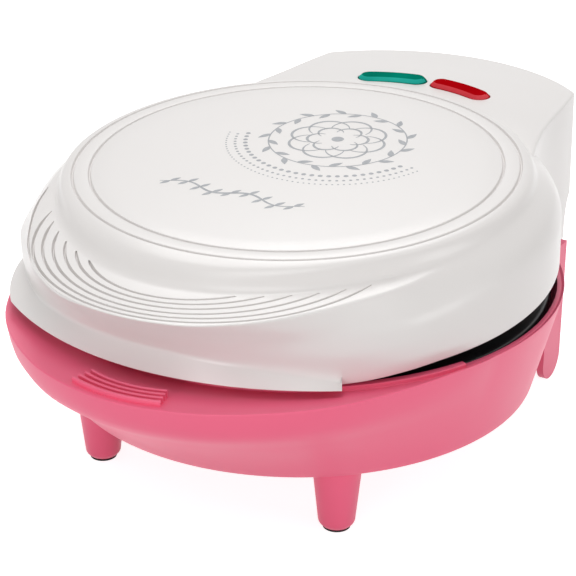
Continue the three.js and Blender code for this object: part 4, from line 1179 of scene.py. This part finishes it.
WHITE = moulded("white_plastic", (0.81, 0.785, 0.772), 0.34, coat_weight=0.1, coat_roughness=0.15)
PINK = moulded("pink_plastic", (0.93, 0.14, 0.26), 0.42)
COATING = coated()
RUBBER = rubber()
STEEL = brushed("zinc_steel", (0.6, 0.6, 0.61), 0.35)
TUBE = brushed("element_steel", (0.22, 0.21, 0.2), 0.45)
SHEET = brushed("reflector_sheet", (0.78, 0.78, 0.8), 0.28)
CERAMIC = granular("ceramic", (0.8, 0.77, 0.68), 400)
LAMINATE = granular("laminate", (0.3, 0.22, 0.09), 250, 0.5)
GREEN = lens_plastic("green_lens", (0.001, 0.24, 0.165), (0.001, 0.17, 0.115))
# Paler copies of the lens colours: a painted highlight for the lenses' sloping fronts
GREEN_PAINTED_HIGHLIGHT = lens_plastic("green_lens_painted_highlight", (0.03, 0.5, 0.41), (0.015, 0.4, 0.33))
RED = lens_plastic("red_lens", (0.52, 0.002, 0.006), (0.42, 0.001, 0.004))
RED_PAINTED_HIGHLIGHT = lens_plastic("red_lens_painted_highlight", (0.8, 0.09, 0.11), (0.7, 0.05, 0.065))
GLASS = material("lamp_glass", (0.95, 0.93, 0.88), 0.05, transmission_weight=1.0, ior=1.45)
bump(GLASS, (200, 2), 0.05, 0.0001)
INK = material("grey_ink", (0.33, 0.345, 0.37), 0.4)
tint(INK, (700, 2), (0.3, 0.315, 0.34), (0.36, 0.375, 0.4))

CAD_MATERIALS = {
    "lower_heating_element": TUBE, "upper_heating_element": TUBE,
    "lower_reflector": SHEET, "upper_reflector": SHEET,
    "thermostat": CERAMIC, "terminal_block": CERAMIC, "thermal_fuse": STEEL,
    "hinge_pin_left": STEEL, "hinge_pin_right": STEEL, "lamp_board": LAMINATE,
    "green_lamp": GLASS, "red_lamp": GLASS,
}


def dress_cad_nodes():
    for name, made in CAD_MATERIALS.items():
        node = frame["nodes"][name]
        node.data.materials.clear()
        node.data.materials.append(made)


def on_base(obj, *looks):
    return placed(obj, BASE_PLACE, "base", *looks)


def on_lid(obj, *looks):
    return placed(obj, LID_PLACE, "lid", *looks)


def screws(put, *kinds):
    """Sets one screw of each kind (name, node, places, head, tip) in turn."""
    for i in range(len(kinds[0][2])):
        for name, node, places, head, tip in kinds:
            put(screw(name, places[i], head, tip), STEEL, f"{node}_{i + 1}", "steel")


def base_pieces():
    on_base(base_shell(), PINK, "base_shell", "base_plastic")
    on_base(lower_plate(), COATING, "lower_cooking_plate", "coated_aluminium")
    on_base(cord_gland(), RUBBER, "cord_gland", "gland_rubber")
    for side, word in ((-1, "left"), (1, "right")):
        on_base(foot_pad(side), RUBBER, f"front_foot_pad_{word}", "rubber")
    head = FLOOR_HEIGHT + FIXING.lower_head
    screws(on_base, ("lower_screw", "lower_plate_screw", FIXING_CENTRES, head, FIXING.lower_tip))


def lid_pieces():
    on_lid(lid_shell(), WHITE, "lid_shell", "lid_plastic", 26)
    on_lid(upper_plate(), COATING, "upper_cooking_plate", "coated_aluminium")
    green = on_lid(lens("green_lens", -1), GREEN, "green_ready_lens", "green_lens")
    red = on_lid(lens("red_lens", 1), RED, "red_power_lens", "red_lens")
    # The lenses' sloping fronts get a painted highlight
    painted_front_highlight(green, GREEN_PAINTED_HIGHLIGHT)
    painted_front_highlight(red, RED_PAINTED_HIGHLIGHT)
    on_lid(hinge_cover(), WHITE, "hinge_cover", "lid_plastic")
    on_lid(lid_print(), INK)
    head = UPPER_FACE + GAP
    screws(on_lid, ("upper_screw", "upper_plate_screw", FIXING_CENTRES, head, FIXING.upper_tip))
    board = CEILING - LENS.flange - 2 * GAP - LAMP_HEIGHT - GAP
    head = board - BOARD.thickness - GAP - SCREW.height
    places = [(side * BOARD.screw_x, LENS_MIDDLE_Y) for side in (-1, 1)]
    screws(
        on_lid,
        ("board_screw", "lamp_board_screw", places, head, board + BOARD.tip),
        ("cover_screw", "hinge_cover_screw", COVER_SCREWS, COVER.head, COVER.tip),
    )


# Studio


def scene_object(name, data, place, back):
    """An object that looks along -Z, set at a place with its back turned that way."""
    obj = bpy.data.objects.new(name, data)
    bpy.context.scene.collection.objects.link(obj)
    obj.location = place
    obj.rotation_mode = "QUATERNION"
    obj.rotation_quaternion = (-back).to_track_quat("-Z", "Y")
    return obj


def camera():
    data = bpy.data.cameras.new("camera")
    data.angle = radians(CAMERA.angle)
    data.clip_start, data.clip_end = 0.01, 50
    azimuth, elevation = radians(CAMERA.azimuth), radians(CAMERA.elevation)
    level = cos(elevation)
    back = Vector((sin(azimuth) * level, -cos(azimuth) * level, sin(elevation)))
    bpy.context.scene.camera = scene_object("camera", data, CAMERA_PLACE, back)


def soft_light(name, place, aim, size, power):
    """A round area light turned to the height aim on the axis."""
    data = bpy.data.lights.new(name, "AREA")
    data.shape = "DISK"
    data.size = size
    data.energy = power
    scene_object(name, data, place, Vector(place) - Vector((0, 0, aim)))


def seen_rays(tree):
    """1 for rays from the camera and for those seen in gloss and glass, else 0."""
    rays = shader_node(tree, "LightPath", {}).outputs
    seen = rays["Is Camera Ray"]
    for key in ("Is Glossy Ray", "Is Transmission Ray"):
        seen = shader_node(tree, "Math", {0: seen, 1: rays[key]}, operation="MAXIMUM").outputs[0]
    return seen


def floor():
    points = [(x * FLOOR.half, y * FLOOR.half, 0) for x, y in CORNERS]
    obj = mesh_object("floor", points, [(0, 1, 2, 3)])
    made = material("floor", (FLOOR.tone,) * 3, 0.9, emission_color=(1, 1, 1, 1))
    tree = made.node_tree
    gain = shader_node(tree, "Math", {0: seen_rays(tree), 1: FLOOR.glow}, operation="MULTIPLY")
    feed(made, "Emission Strength", gain.outputs[0])
    obj.data.materials.append(made)


def world():
    """A dim room for the light, and plain white where the backdrop is seen."""
    made = bpy.data.worlds.new("studio")
    bpy.context.scene.world = made
    made.use_nodes = True
    tree = made.node_tree
    tree.nodes.clear()
    room = shader_node(tree, "Background", {"Color": (1, 0.99, 0.98, 1), "Strength": ROOM_LIGHT})
    white = shader_node(tree, "Background", {"Color": (1, 1, 1, 1), "Strength": 1})
    blend = shader_node(tree, "MixShader", {
        "Fac": seen_rays(tree), 1: room.outputs[0], 2: white.outputs[0],
    })
    shader_node(tree, "OutputWorld", {"Surface": blend.outputs[0]})


def studio():
    camera()
    floor()
    world()
    for light in LIGHTS:
        soft_light(*light)
    bpy.context.scene.view_settings.view_transform = "Standard"


studio()
dress_cad_nodes()
base_pieces()
lid_pieces()
